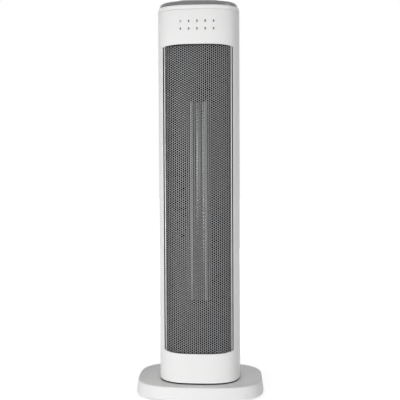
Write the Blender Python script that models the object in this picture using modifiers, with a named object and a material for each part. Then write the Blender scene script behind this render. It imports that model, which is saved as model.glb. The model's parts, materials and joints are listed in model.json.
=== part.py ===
# Tower heater: a slim upright fan heater that swings on a low base.
# Metres, +Z up, the front faces -Y, the origin lies under the middle of the base.

import math

import bmesh
import bpy
from mathutils import Matrix, Vector

MM = 0.001

# Fits that every piece shares
CLEARANCE = 0.3 * MM  # between two pieces that touch on the real heater
RUNNING_GAP = 0.5 * MM  # beside a piece that turns or slides
OVERRUN = 2 * MM  # how far every cut runs past what it cuts
OVERLAP = 1 * MM  # how deep a joined boss is rooted in its wall

# Base
BASE_WIDTH = 240 * MM
BASE_DEPTH = 160 * MM
BASE_SQUARENESS = 3.2
BASE_RISE = 22.5 * MM
BASE_WALL = 2.5 * MM
RIM_LIFT = 3 * MM  # the rim's lower edge above the floor
RIM_DRAFT = 3 * MM
RIM_ROUND = 2.6 * MM
BASE_PLATE_SINK = 0.5 * MM
BASE_PLATE_THICKNESS = 2.2 * MM
FOOT_RADIUS = 9 * MM
FOOT_ROUND = 1 * MM
FOOT_PEG_RADIUS = 3 * MM
FOOT_INSET_X = 38 * MM
FOOT_INSET_Y = 27 * MM
BASE_SCREW_INSET_X = 66 * MM
BASE_SCREW_INSET_Y = 30 * MM
BASE_BOSS_RADIUS = 5 * MM
BASE_SCREW_RADIUS = 1.8 * MM
BASE_SCREW_LENGTH = 12 * MM
BASE_SCREW_HEAD_RADIUS = 3.4 * MM
BASE_SCREW_HEAD_HEIGHT = 1.6 * MM

# Cord gland in the base's rear wall
GLAND_RADIUS = 6 * MM
GLAND_BORE_RADIUS = 3.6 * MM
GLAND_FLANGE_RADIUS = 8 * MM
GLAND_FLANGE_THICKNESS = 2 * MM
GLAND_LENGTH = 9 * MM

# Tip-over switch
PLUNGER_RADIUS = 2.6 * MM
PLUNGER_COLLAR_RADIUS = 4 * MM
PLUNGER_COLLAR_HEIGHT = 1.5 * MM
PLUNGER_TRAVEL = 4 * MM
PLUNGER_INSET_X = 34 * MM
TIP_SWITCH_WIDTH = 20 * MM
TIP_SWITCH_DEPTH = 7 * MM

# Tower body
BODY_WIDTH = 152 * MM
BODY_DEPTH = 122 * MM
BODY_SQUARENESS = 2.9
SHADOW_GAP = 2.5 * MM  # between the base and the tower
HOUSING_HEIGHT = 680 * MM
HOUSING_WALL = 2.5 * MM
HOUSING_SPLIT = 8 * MM  # where front and rear housing meet, behind the middle
FLOOR_THICKNESS = 3 * MM

# Turntable
POST_RADIUS = 14 * MM
POST_BORE_RADIUS = 8 * MM
POST_NECK_RADIUS = 11 * MM
POST_FLANGE_RADIUS = 27 * MM
POST_FLANGE_THICKNESS = 3 * MM
POST_END = 2 * MM  # how far the post's neck stands above the fixed gear
BEARING_RING_RADIUS = 52 * MM
BEARING_RING_WIDTH = 14 * MM

# Swing drive: the pinion rolls on the fixed gear
GEAR_MODULE = 1.5 * MM
FIXED_GEAR_TEETH = 30
PINION_TEETH = 10
GEAR_THICKNESS = 6 * MM
GEAR_BACKLASH = 0.35 * MM
GEAR_ADDENDUM_SHARE = 0.8
GEAR_DEDENDUM_SHARE = 1.2
GEAR_PRESSURE_ANGLE = math.radians(20)
PINION_SHAFT_RADIUS = 2.5 * MM
PINION_SHAFT_LENGTH = 8 * MM
SWING_MOTOR_RADIUS = 20 * MM
SWING_MOTOR_HEIGHT = 16 * MM
SWING_MOTOR_EAR = 7 * MM
SWING_MOTOR_EAR_THICKNESS = 2 * MM
SWING_MOTOR_LIFT = 2 * MM  # the motor's underside above the pinion
STANDOFF_RADIUS = 3.5 * MM

# Front grille
GRILLE_OPENING_WIDTH = 128 * MM
GRILLE_OPENING_HEIGHT = 564 * MM  # in the middle
GRILLE_OPENING_LIFT = 54 * MM  # above the housing's lower edge
GRILLE_OPENING_ARCH = 3.3 * MM  # how far its ends bow out between the corners
GRILLE_OPENING_ARCH_POWER = 5
GRILLE_SIDE_GAP = 1.7 * MM
GRILLE_THICKNESS = 1 * MM
GRILLE_LAP = 5 * MM
GRILLE_COLUMNS = 8
GRILLE_ROWS = 12
GRILLE_BAR = 2.5 * MM
GRILLE_MARGIN = 4 * MM

# Heating element
ELEMENT_LENGTH = 368 * MM
ELEMENT_LIFT = 94 * MM  # its lower end above the grille opening's lower edge
ELEMENT_DEPTH = 14 * MM
ELEMENT_TUBE_WIDTH = 4 * MM
ELEMENT_TUBE_SPACING = 26 * MM
ELEMENT_SIDE_FIN_WIDTH = 7 * MM
FIN_PITCH = 12 * MM
FIN_SHEET = 1.2 * MM
HEATER_PANEL_DEPTH = 24 * MM  # the panel's front face, ahead of the middle
HEATER_PANEL_THICKNESS = 2 * MM
BRACKET_HEIGHT = 16 * MM
BRACKET_SIDE = 3 * MM
CUTOUT_RADIUS = 7 * MM
CUTOUT_HEIGHT = 6 * MM
CUTOUT_CAP_SHARE = 0.75
CUTOUT_LIFT = 13 * MM  # its middle above the upper bracket

# Blower
FAN_RADIUS = 27 * MM
FAN_BLADES = 14
FAN_BLADE_DEPTH = 6 * MM
FAN_BLADE_THICKNESS = 1 * MM
FAN_BLADE_LEAN = math.radians(35)
FAN_DISC = 2 * MM
FAN_FRONT_ROOM = 8 * MM  # between the wheel and the heater panel
FAN_END_ROOM = 4 * MM
FAN_BEYOND_ELEMENT = 24 * MM  # how far the wheel runs past each end of the element
FAN_SHAFT_RADIUS = 3 * MM
FAN_SHAFT_SEAT = 10 * MM
BEARING_RADIUS = 9 * MM
BEARING_FLANGE_RADIUS = 12 * MM
BEARING_FLANGE_THICKNESS = 2 * MM
BLOWER_PLATE_THICKNESS = 3 * MM
FAN_MOTOR_RADIUS = 25 * MM
FAN_MOTOR_HEIGHT = 36 * MM
FAN_MOTOR_SPIGOT_RADIUS = 10 * MM
GUIDE_THICKNESS = 1.5 * MM
GUIDE_ROOM = 4 * MM  # between the wheel and the nearest end of an air guide
SCROLL_END_ANGLE = math.radians(110)
CUTOFF_END_ANGLE = math.radians(-28)

# Rear housing
SLOT_ROWS = 20
SLOT_COLUMNS = 3
SLOT_WIDTH = 25 * MM
SLOT_HEIGHT = 7 * MM
SLOT_COLUMN_PITCH = 31 * MM
SLOT_FIELD_LIFT = 140 * MM  # above the housing's lower edge
SLOT_FIELD_HEIGHT = 400 * MM
SLOT_DEPTH = 24 * MM
GRIP_WIDTH = 86 * MM
GRIP_HEIGHT = 26 * MM
GRIP_DEPTH = 24 * MM
GRIP_WALL = 2 * MM
GRIP_DROP = 36 * MM  # its middle below the housing's upper edge
REAR_SCREW_X = 22 * MM
REAR_SCREW_RADIUS = 2 * MM
REAR_SCREW_LENGTH = 12 * MM
REAR_SCREW_HEAD_RADIUS = 3.6 * MM
REAR_SCREW_HEAD_HEIGHT = 1.8 * MM
REAR_BOSS_WIDTH = 10 * MM
REAR_BOSS_LENGTH = 15 * MM

# Rocker switch
ROCKER_LIFT = 45 * MM  # its axis above the housing's lower edge
ROCKER_WIDTH = 12.5 * MM
ROCKER_HALF_LENGTH = 9.6 * MM
ROCKER_NOSE = 2.4 * MM
ROCKER_DIP = 0.8 * MM
ROCKER_SIDE = 3.2 * MM
ROCKER_KEEL = 6 * MM
ROCKER_KEEL_WIDTH = 8 * MM
ROCKER_SINK = 1.5 * MM  # its axis inside the housing's outer face
ROCKER_TILT = math.radians(9)
BEZEL_WALL = 1.6 * MM
BEZEL_FLANGE = 2 * MM
BEZEL_FLANGE_THICKNESS = 1.2 * MM
BEZEL_DEPTH = 12 * MM

# Power board
POWER_BOARD_WIDTH = 60 * MM
POWER_BOARD_HEIGHT = 54 * MM
POWER_BOARD_THICKNESS = 1.6 * MM
POWER_BOARD_BACK = 38 * MM
RELAY_WIDTH = 18 * MM
RELAY_HEIGHT = 16 * MM
RELAY_DEPTH = 8 * MM
RELAY_SIDE = 9 * MM  # from the board's left edge
RELAY_LIFT = 4 * MM  # from the board's lower edge
CAPACITOR_RADIUS = 4 * MM
CAPACITOR_HEIGHT = 9 * MM

# Top
SEAM_GAP = 0.5 * MM
CAP_HEIGHT = 8 * MM
CAP_ROUND = 2.3 * MM
CAP_SKIRT = 5 * MM
CAP_SKIRT_WALL = 2 * MM
TRIM_HEIGHT = 7.6 * MM
TRIM_INSET = 2.6 * MM
TRIM_ROUND = 4.5 * MM
CONSOLE_WIDTH = 92 * MM
CONSOLE_DEPTH = 88 * MM
CONSOLE_SQUARENESS = 3.2
CONSOLE_RISE = 4.6 * MM  # above the glossy trim
CONSOLE_WALL = 2.4 * MM
CONSOLE_ROUND = 2 * MM
BUTTON_COUNT = 5
BUTTON_PITCH = 16 * MM
BUTTON_RADIUS = 5.5 * MM
BUTTON_PROUD = 1 * MM
BUTTON_DOME = 0.5 * MM
BUTTON_FLANGE = 1.2 * MM
BUTTON_STEM_RADIUS = 2.4 * MM
BUTTON_TRAVEL = 1.2 * MM
BOARD_THICKNESS = 1.6 * MM
BUTTON_BOARD_MARGIN = 2 * MM

# Indicators: a light guide with a pin behind each window of the front
PIN_COLUMNS = 5
PIN_ROWS = 2
PIN_PITCH_X = 15 * MM
PIN_PITCH_Z = 13.5 * MM
PIN_WIDTH = 2.2 * MM
PIN_HEIGHT = 3.8 * MM
PIN_DROP = 21 * MM  # the upper row below the housing's upper edge
LIGHT_GUIDE_THICKNESS = 2 * MM
LIGHT_GUIDE_MARGIN = 5 * MM

# Facets
OUTLINE_STEPS = 64
ARC_STEPS = 28
GRILLE_STEPS = 12
ARCH_STEPS = 12
ROUND_STEPS = 28
SMALL_ROUND_STEPS = 12
BUTTON_STEPS = 20
ROUNDING_STEPS = 4
FULL_TURN = 2 * math.pi
SHARP_ANGLE = math.radians(35)
WELD_DISTANCE = CLEARANCE / 100

# Heights worked out from the sizes above
base_top = RIM_LIFT + BASE_RISE
base_plate_bottom = RIM_LIFT + BASE_PLATE_SINK
base_plate_top = base_plate_bottom + BASE_PLATE_THICKNESS
base_ceiling = base_top - BASE_WALL
body_bottom = base_top + SHADOW_GAP
floor_top = body_bottom + FLOOR_THICKNESS
housing_top = body_bottom + HOUSING_HEIGHT
cap_bottom = housing_top + SEAM_GAP
cap_top = cap_bottom + CAP_HEIGHT
trim_bottom = cap_top + CLEARANCE
trim_top = trim_bottom + TRIM_HEIGHT
console_bottom = cap_top + CLEARANCE
console_top = trim_top + CONSOLE_RISE
opening_bottom = body_bottom + GRILLE_OPENING_LIFT
opening_top = opening_bottom + GRILLE_OPENING_HEIGHT
element_bottom = opening_bottom + ELEMENT_LIFT
element_top = element_bottom + ELEMENT_LENGTH
gear_bottom = floor_top + RUNNING_GAP + CLEARANCE
gear_top = gear_bottom + GEAR_THICKNESS
fan_bottom = element_bottom - FAN_BEYOND_ELEMENT
fan_top = element_top + FAN_BEYOND_ELEMENT
lower_plate_top = fan_bottom - FAN_END_ROOM
lower_plate_bottom = lower_plate_top - BLOWER_PLATE_THICKNESS
upper_plate_bottom = fan_top + FAN_END_ROOM
upper_plate_top = upper_plate_bottom + BLOWER_PLATE_THICKNESS
rocker_height = body_bottom + ROCKER_LIFT
grip_middle = housing_top - GRIP_DROP

# Places across the tower
inner_inset = HOUSING_WALL + CLEARANCE
panel_front = -HEATER_PANEL_DEPTH
panel_back = panel_front + HEATER_PANEL_THICKNESS
fan_y = panel_back + FAN_FRONT_ROOM + FAN_RADIUS
element_half = ELEMENT_TUBE_SPACING / 2 + ELEMENT_TUBE_WIDTH / 2 + CLEARANCE + ELEMENT_SIDE_FIN_WIDTH
window_half = element_half + CLEARANCE
rear_face = BODY_DEPTH / 2
pinion_x = GEAR_MODULE * (FIXED_GEAR_TEETH + PINION_TEETH) / 2


# Scene helpers


def clear_scene():
    for obj in list(bpy.data.objects):
        bpy.data.objects.remove(obj, do_unlink=True)


def new_collection(name):
    collection = bpy.data.collections.new(name)
    bpy.context.scene.collection.children.link(collection)
    return collection


def new_material(name, color, roughness, metallic=0.0):
    material = bpy.data.materials.new(name)
    material.use_nodes = True
    shader = material.node_tree.nodes["Principled BSDF"]
    shader.inputs["Base Color"].default_value = (*color, 1.0)
    shader.inputs["Roughness"].default_value = roughness
    shader.inputs["Metallic"].default_value = metallic
    return material


def new_axis(name, place, parent=None):
    # An empty on a joint's axis. The pieces of the moving body hang on it.
    axis = bpy.data.objects.new(name, None)
    axis["world_place"] = place
    axis.empty_display_size = BODY_WIDTH / 2
    parts.objects.link(axis)
    if parent:
        axis.parent = parent
        axis.location = Vector(place) - Vector(parent["world_place"])
    else:
        axis.location = place
    return axis


def add_part(obj, material, carrier):
    # Moves a shape into the heater's collection, under the body that carries it.
    for collection in obj.users_collection:
        collection.objects.unlink(obj)
    parts.objects.link(obj)
    obj.hide_render = False
    obj.display_type = "TEXTURED"
    obj.data.materials.clear()
    obj.data.materials.append(material)
    obj.location = obj.location - Vector(carrier["world_place"])
    obj.parent = carrier
    return obj


# Shape helpers: each returns an object that counts as a cutter until add_part takes it


def new_shape(name, mesh, place=(0, 0, 0)):
    obj = bpy.data.objects.new(name, mesh)
    obj.location = place
    obj.hide_render = True
    obj.display_type = "WIRE"
    cutters.objects.link(obj)
    return obj


def mesh_of(shape, name):
    mesh = bpy.data.meshes.new(name)
    bmesh.ops.recalc_face_normals(shape, faces=shape.faces)
    shape.to_mesh(mesh)
    shape.free()
    return mesh


def blocks(name, boxes):
    # One mesh of boxes, each given by its lowest and highest corner.
    shape = bmesh.new()
    for low, high in boxes:
        size = Vector(high) - Vector(low)
        middle = (Vector(high) + Vector(low)) / 2
        placed = Matrix.Translation(middle) @ Matrix.Diagonal((*size, 1))
        bmesh.ops.create_cube(shape, size=1, matrix=placed)
    return new_shape(name, mesh_of(shape, name))


def block(name, low, high):
    return blocks(name, [(low, high)])


def rods(name, places, radius, bottom, top, steps=SMALL_ROUND_STEPS, turn=None):
    # One mesh of upright round rods at the (x, y) places, or of rods laid along turn.
    shape = bmesh.new()
    for x, y in places:
        placed = Matrix.Translation((x, y, (bottom + top) / 2))
        bmesh.ops.create_cone(
            shape,
            cap_ends=True,
            segments=steps,
            radius1=radius,
            radius2=radius,
            depth=top - bottom,
            matrix=placed,
        )
    if turn:
        bmesh.ops.transform(shape, matrix=turn, verts=shape.verts)
    return new_shape(name, mesh_of(shape, name))


def plate(name, loops, bottom, top):
    # A flat outline, with any further loops as holes, extruded upwards.
    # Drawn in millimetres, because the fill of a curve loses details much smaller than that in metres.
    curve = bpy.data.curves.new(name, "CURVE")
    curve.dimensions = "2D"
    curve.fill_mode = "BOTH"
    curve.extrude = (top - bottom) / MM / 2
    for loop in loops:
        spline = curve.splines.new("POLY")
        spline.points.add(len(loop) - 1)
        for point, (x, y) in zip(spline.points, loop):
            point.co = (x / MM, y / MM, 0, 1)
        spline.use_cyclic_u = True
    guide = bpy.data.objects.new(name, curve)
    cutters.objects.link(guide)
    graph = bpy.context.evaluated_depsgraph_get()
    mesh = bpy.data.meshes.new_from_object(guide.evaluated_get(graph))
    bpy.data.objects.remove(guide)
    shape = bmesh.new()
    shape.from_mesh(mesh)
    bmesh.ops.scale(shape, verts=shape.verts, vec=(MM, MM, MM))
    bmesh.ops.remove_doubles(shape, verts=shape.verts, dist=WELD_DISTANCE)
    bmesh.ops.translate(shape, verts=shape.verts, vec=(0, 0, (top - bottom) / 2))
    bpy.data.meshes.remove(mesh)
    return new_shape(name, mesh_of(shape, name), (0, 0, bottom))


def wall_plate(name, loops, front, back):
    # A flat outline in X and Z, extruded from the y of its front to the y of its back.
    obj = plate(name, loops, 0, back - front)
    obj.data.transform(Matrix.Rotation(math.radians(90), 4, "X"))
    obj.location = (0, back, 0)
    return obj


def turned(name, profile, place, steps=ROUND_STEPS, closed=False):
    # A profile of (radius, height) points, from the top down its outer side, turned about Z.
    shape = bmesh.new()
    corners = [shape.verts.new((radius, 0, height)) for radius, height in profile]
    for first, second in zip(corners, corners[1:]):
        shape.edges.new((first, second))
    if closed:
        shape.edges.new((corners[-1], corners[0]))
    mesh = bpy.data.meshes.new(name)
    shape.to_mesh(mesh)
    shape.free()
    obj = new_shape(name, mesh, place)
    screw = obj.modifiers.new("turned", "SCREW")
    screw.steps = steps
    screw.render_steps = steps
    screw.use_merge_vertices = True
    screw.merge_threshold = WELD_DISTANCE
    return obj


def boolean(target, operation, other):
    modifier = target.modifiers.new(other.name, "BOOLEAN")
    modifier.operation = operation
    modifier.solver = "EXACT"
    modifier.object = other
    return target


def cut(target, other):
    return boolean(target, "DIFFERENCE", other)


def join(target, other):
    return boolean(target, "UNION", other)


def keep_inside(target, other):
    return boolean(target, "INTERSECT", other)


def round_upper_edge(obj, radius):
    # Rounds only the edges that run round the top of an upright plate.
    mesh = obj.data
    top = max(vertex.co.z for vertex in mesh.vertices)
    weights = mesh.attributes.new("bevel_weight_edge", "FLOAT", "EDGE")
    counts = {}
    for face in mesh.polygons:
        flat = abs(face.normal.z) > math.cos(math.radians(1))
        for key in face.edge_keys:
            counts.setdefault(key, []).append(flat)
    for edge in mesh.edges:
        on_top = all(mesh.vertices[i].co.z > top - CLEARANCE for i in edge.vertices)
        corner = len(set(counts[tuple(sorted(edge.vertices))])) > 1
        weights.data[edge.index].value = 1.0 if on_top and corner else 0.0
    bevel = obj.modifiers.new("rounded", "BEVEL")
    bevel.limit_method = "WEIGHT"
    bevel.width = radius
    bevel.segments = ROUNDING_STEPS
    return obj


def taper_top(obj, inset, half_width, half_depth):
    # Draws the top of an upright plate in, for the draft of a moulded wall.
    top = max(vertex.co.z for vertex in obj.data.vertices)
    for vertex in obj.data.vertices:
        if vertex.co.z > top - CLEARANCE:
            vertex.co.x *= (half_width - inset) / half_width
            vertex.co.y *= (half_depth - inset) / half_depth
    return obj


def smooth(obj):
    obj.data.shade_smooth()
    obj.data.set_sharp_from_angle(angle=SHARP_ANGLE)
    return obj


# Outline helpers


def circle(radius, place=(0, 0), steps=ROUND_STEPS):
    turns = [FULL_TURN * step / steps for step in range(steps)]
    return [(place[0] + radius * math.cos(t), place[1] + radius * math.sin(t)) for t in turns]


def rectangle(half_x, half_y, middle=(0, 0)):
    corners = ((-1, -1), (1, -1), (1, 1), (-1, 1))
    return [(middle[0] + half_x * x, middle[1] + half_y * y) for x, y in corners]


def superellipse_point(half_x, half_y, squareness, angle):
    cosine = math.cos(angle)
    sine = math.sin(angle)
    x = math.copysign(abs(cosine) ** (2 / squareness), cosine)
    y = math.copysign(abs(sine) ** (2 / squareness), sine)
    return half_x * x, half_y * y


def superellipse(half_x, half_y, squareness, steps=OUTLINE_STEPS):
    turns = [FULL_TURN * step / steps for step in range(steps)]
    return [superellipse_point(half_x, half_y, squareness, turn) for turn in turns]


def base_loop(inset):
    return superellipse(BASE_WIDTH / 2 - inset, BASE_DEPTH / 2 - inset, BASE_SQUARENESS)


def tower_loop(inset):
    return superellipse(BODY_WIDTH / 2 - inset, BODY_DEPTH / 2 - inset, BODY_SQUARENESS)


def tower_points(inset, start, end, steps):
    half_x = BODY_WIDTH / 2 - inset
    half_y = BODY_DEPTH / 2 - inset
    turns = [start + (end - start) * step / steps for step in range(steps + 1)]
    return [superellipse_point(half_x, half_y, BODY_SQUARENESS, turn) for turn in turns]


def tower_side_angle(inset, y):
    # The outline's angle on the +X side where it crosses the given y.
    share = abs(y) / (BODY_DEPTH / 2 - inset)
    return math.copysign(math.asin(share ** (BODY_SQUARENESS / 2)), y)


def tower_front_arc(inset, y, steps=ARC_STEPS):
    side = tower_side_angle(inset, y)
    return tower_points(inset, side, -math.pi - side, steps)


def tower_rear_arc(inset, y, steps=ARC_STEPS):
    side = tower_side_angle(inset, y)
    return tower_points(inset, side, math.pi - side, steps)


def tower_face_arc(inset, half_width, steps):
    # The part of the front face between -half_width and +half_width.
    share = half_width / (BODY_WIDTH / 2 - inset)
    side = math.acos(share ** (BODY_SQUARENESS / 2))
    return tower_points(inset, -side, side - math.pi, steps)


def tower_y_at(inset, x):
    # How far the outline lies from the middle, along Y, at the given x.
    share = abs(x) / (BODY_WIDTH / 2 - inset)
    return (BODY_DEPTH / 2 - inset) * (1 - share**BODY_SQUARENESS) ** (1 / BODY_SQUARENESS)


def tower_x_at(inset, y):
    share = abs(y) / (BODY_DEPTH / 2 - inset)
    return (BODY_WIDTH / 2 - inset) * (1 - share**BODY_SQUARENESS) ** (1 / BODY_SQUARENESS)


def gear_loop(teeth, turn=0.0):
    # Involute teeth with a flat root and tip, thinned by the backlash.
    pitch_radius = GEAR_MODULE * teeth / 2
    base_radius = pitch_radius * math.cos(GEAR_PRESSURE_ANGLE)
    tip_radius = pitch_radius + GEAR_MODULE * GEAR_ADDENDUM_SHARE
    root_radius = pitch_radius - GEAR_MODULE * GEAR_DEDENDUM_SHARE
    half_tooth = math.pi / (2 * teeth) - GEAR_BACKLASH / (4 * pitch_radius)

    def involute(radius):
        if radius <= base_radius:
            return 0.0
        tangent = math.sqrt((radius / base_radius) ** 2 - 1)
        return tangent - math.atan(tangent)

    flank = []
    for radius in (root_radius, max(base_radius, root_radius), pitch_radius, tip_radius):
        flank.append((radius, half_tooth + involute(pitch_radius) - involute(radius)))
    points = []
    for tooth in range(teeth):
        middle = turn + FULL_TURN * tooth / teeth
        for radius, half in flank:
            points.append((radius * math.cos(middle - half), radius * math.sin(middle - half)))
        for radius, half in reversed(flank):
            points.append((radius * math.cos(middle + half), radius * math.sin(middle + half)))
    return points


def mirrored_places(x, y):
    return [(-x, -y), (x, -y), (-x, y), (x, y)]


# Base


def make_base_cover(material, carrier):
    half_width = BASE_WIDTH / 2
    half_depth = BASE_DEPTH / 2
    cover = plate("base_cover", [base_loop(0)], RIM_LIFT, base_top)
    taper_top(cover, RIM_DRAFT, half_width, half_depth)
    round_upper_edge(cover, RIM_ROUND)
    post_radius = POST_RADIUS + CLEARANCE
    below = base_ceiling - OVERRUN
    above = base_top + OVERRUN
    cut(cover, rods("post_opening", [(0, 0)], post_radius, below, above, ROUND_STEPS))
    hollow = plate("base_hollow", [base_loop(BASE_WALL)], RIM_LIFT - OVERRUN, base_ceiling)
    taper_top(hollow, RIM_DRAFT, half_width - BASE_WALL, half_depth - BASE_WALL)
    cut(cover, hollow)
    places = mirrored_places(half_width - BASE_SCREW_INSET_X, half_depth - BASE_SCREW_INSET_Y)
    boss_bottom = base_plate_top + CLEARANCE
    bosses = rods("base_bosses", places, BASE_BOSS_RADIUS, boss_bottom, base_ceiling + OVERLAP)
    join(cover, bosses)
    hole_top = base_plate_bottom + BASE_SCREW_LENGTH + CLEARANCE
    hole_radius = BASE_SCREW_RADIUS + CLEARANCE
    cut(cover, rods("base_boss_holes", places, hole_radius, boss_bottom - OVERRUN, hole_top))
    cut(cover, gland_rod("gland_opening", GLAND_RADIUS + CLEARANCE, OVERRUN))
    return add_part(smooth(cover), material, carrier)


def gland_height():
    return (base_plate_top + base_ceiling) / 2


def gland_end():
    # The gland's outer end is flush with the drafted rear wall at its own top.
    rise = (gland_height() + GLAND_RADIUS - RIM_LIFT) / BASE_RISE
    return BASE_DEPTH / 2 - RIM_DRAFT * rise


def gland_rod(name, radius, extra):
    # A rod along Y through the rear wall, centred on the gland.
    front = gland_end() - GLAND_LENGTH - extra
    back = gland_end() + extra
    laid = Matrix.Translation((0, 0, gland_height())) @ Matrix.Rotation(math.radians(-90), 4, "X")
    return rods(name, [(0, 0)], radius, front, back, ROUND_STEPS, laid)


def make_cord_gland(material, carrier):
    gland = gland_rod("cord_gland", GLAND_RADIUS, 0)
    front = gland_end() - GLAND_LENGTH
    inner_wall = gland_end() - BASE_WALL - RIM_DRAFT - CLEARANCE
    laid = Matrix.Translation((0, 0, gland_height())) @ Matrix.Rotation(math.radians(-90), 4, "X")
    flange_back = min(front + GLAND_FLANGE_THICKNESS, inner_wall)
    radius = GLAND_FLANGE_RADIUS
    join(gland, rods("gland_flange", [(0, 0)], radius, front - OVERLAP, flange_back, ROUND_STEPS, laid))
    cut(gland, gland_rod("gland_bore", GLAND_BORE_RADIUS, OVERRUN))
    return add_part(smooth(gland), material, carrier)


def base_plate_inset():
    # The cover's wall leans inwards, so the plate's upper face sets its size.
    rise = (base_plate_top - RIM_LIFT) / BASE_RISE
    return BASE_WALL + RIM_DRAFT * rise + CLEARANCE


def foot_places():
    return mirrored_places(BASE_WIDTH / 2 - FOOT_INSET_X, BASE_DEPTH / 2 - FOOT_INSET_Y)


def base_screw_places():
    return mirrored_places(BASE_WIDTH / 2 - BASE_SCREW_INSET_X, BASE_DEPTH / 2 - BASE_SCREW_INSET_Y)


def plunger_place():
    return PLUNGER_INSET_X - BASE_WIDTH / 2, 0


def make_base_plate(material, carrier):
    loops = [base_loop(base_plate_inset())]
    for place in foot_places():
        loops.append(circle(FOOT_PEG_RADIUS + CLEARANCE, place, SMALL_ROUND_STEPS))
    for place in base_screw_places():
        loops.append(circle(BASE_SCREW_RADIUS + CLEARANCE, place, SMALL_ROUND_STEPS))
    loops.append(circle(PLUNGER_RADIUS + RUNNING_GAP, plunger_place(), SMALL_ROUND_STEPS))
    lid = plate("base_plate", loops, base_plate_bottom, base_plate_top)
    return add_part(smooth(lid), material, carrier)


def make_feet(material, carrier):
    top = base_plate_bottom - CLEARANCE
    profile = [
        (0, base_plate_top),
        (FOOT_PEG_RADIUS, base_plate_top),
        (FOOT_PEG_RADIUS, top),
        (FOOT_RADIUS, top),
        (FOOT_RADIUS, FOOT_ROUND),
        (FOOT_RADIUS - FOOT_ROUND, 0),
        (0, 0),
    ]
    names = ("foot_front_left", "foot_front_right", "foot_rear_left", "foot_rear_right")
    for name, (x, y) in zip(names, foot_places()):
        add_part(smooth(turned(name, profile, (x, y, 0), SMALL_ROUND_STEPS)), material, carrier)


def make_base_screws(material, carrier):
    bottom = base_plate_bottom - CLEARANCE - BASE_SCREW_HEAD_HEIGHT
    shank_top = base_plate_bottom + BASE_SCREW_LENGTH
    head_top = base_plate_bottom - CLEARANCE
    profile = [
        (0, shank_top - bottom),
        (BASE_SCREW_RADIUS, shank_top - bottom),
        (BASE_SCREW_RADIUS, head_top - bottom),
        (BASE_SCREW_HEAD_RADIUS, head_top - bottom),
        (BASE_SCREW_HEAD_RADIUS, 0),
        (0, 0),
    ]
    for number, (x, y) in enumerate(base_screw_places(), 1):
        screw = turned(f"base_screw_{number}", profile, (x, y, bottom), SMALL_ROUND_STEPS)
        add_part(smooth(screw), material, carrier)


def plunger_collar_bottom():
    return base_plate_top + PLUNGER_TRAVEL + CLEARANCE


def make_tip_switch(switch_material, plunger_material, carrier, plunger_axis):
    x, y = plunger_place()
    collar_bottom = plunger_collar_bottom()
    collar_top = collar_bottom + PLUNGER_COLLAR_HEIGHT
    low = (x - TIP_SWITCH_WIDTH / 2, y - TIP_SWITCH_DEPTH / 2, collar_top + CLEARANCE)
    high = (x + TIP_SWITCH_WIDTH / 2, y + TIP_SWITCH_DEPTH / 2, base_ceiling - CLEARANCE)
    add_part(block("tip_switch", low, high), switch_material, carrier)
    profile = [
        (0, collar_top - CLEARANCE),
        (PLUNGER_COLLAR_RADIUS, collar_top - CLEARANCE),
        (PLUNGER_COLLAR_RADIUS, collar_bottom - CLEARANCE),
        (PLUNGER_RADIUS, collar_bottom - CLEARANCE),
        (PLUNGER_RADIUS, 0),
        (0, 0),
    ]
    plunger = turned("tip_plunger", profile, (x, y, CLEARANCE), SMALL_ROUND_STEPS)
    add_part(smooth(plunger), plunger_material, plunger_axis)


# Turntable and swing drive


def make_turntable(post_material, ring_material, carrier):
    flange_top = base_ceiling - CLEARANCE
    flange_bottom = flange_top - POST_FLANGE_THICKNESS
    shoulder = gear_bottom - CLEARANCE
    end = gear_top + POST_END
    profile = [
        (POST_BORE_RADIUS, end - flange_bottom),
        (POST_NECK_RADIUS, end - flange_bottom),
        (POST_NECK_RADIUS, shoulder - flange_bottom),
        (POST_RADIUS, shoulder - flange_bottom),
        (POST_RADIUS, flange_top - flange_bottom),
        (POST_FLANGE_RADIUS, flange_top - flange_bottom),
        (POST_FLANGE_RADIUS, 0),
        (POST_BORE_RADIUS, 0),
    ]
    post = turned("pivot_post", profile, (0, 0, flange_bottom), closed=True)
    add_part(smooth(post), post_material, carrier)
    loops = [circle(BEARING_RING_RADIUS), circle(BEARING_RING_RADIUS - BEARING_RING_WIDTH)]
    ring = plate("bearing_ring", loops, base_top + CLEARANCE, body_bottom - CLEARANCE)
    add_part(smooth(ring), ring_material, carrier)


def make_fixed_gear(material, carrier):
    loops = [gear_loop(FIXED_GEAR_TEETH), circle(POST_NECK_RADIUS + CLEARANCE)]
    gear = plate("fixed_gear", loops, gear_bottom, gear_top)
    return add_part(gear, material, carrier)


def make_swing_pinion(material, carrier):
    # Turned by half a tooth, so that a gap faces the fixed gear's tooth.
    outline = gear_loop(PINION_TEETH, math.pi / PINION_TEETH)
    pinion = plate("swing_pinion", [outline], gear_bottom, gear_top)
    shaft_top = gear_top + SWING_MOTOR_LIFT + PINION_SHAFT_LENGTH
    shaft = rods("pinion_shaft", [(0, 0)], PINION_SHAFT_RADIUS, gear_top - OVERLAP, shaft_top)
    pinion.location.x = pinion_x
    shaft.location.x = pinion_x
    join(pinion, shaft)
    return add_part(pinion, material, carrier)


def swing_motor_ear_y():
    return SWING_MOTOR_RADIUS + SWING_MOTOR_EAR


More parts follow.
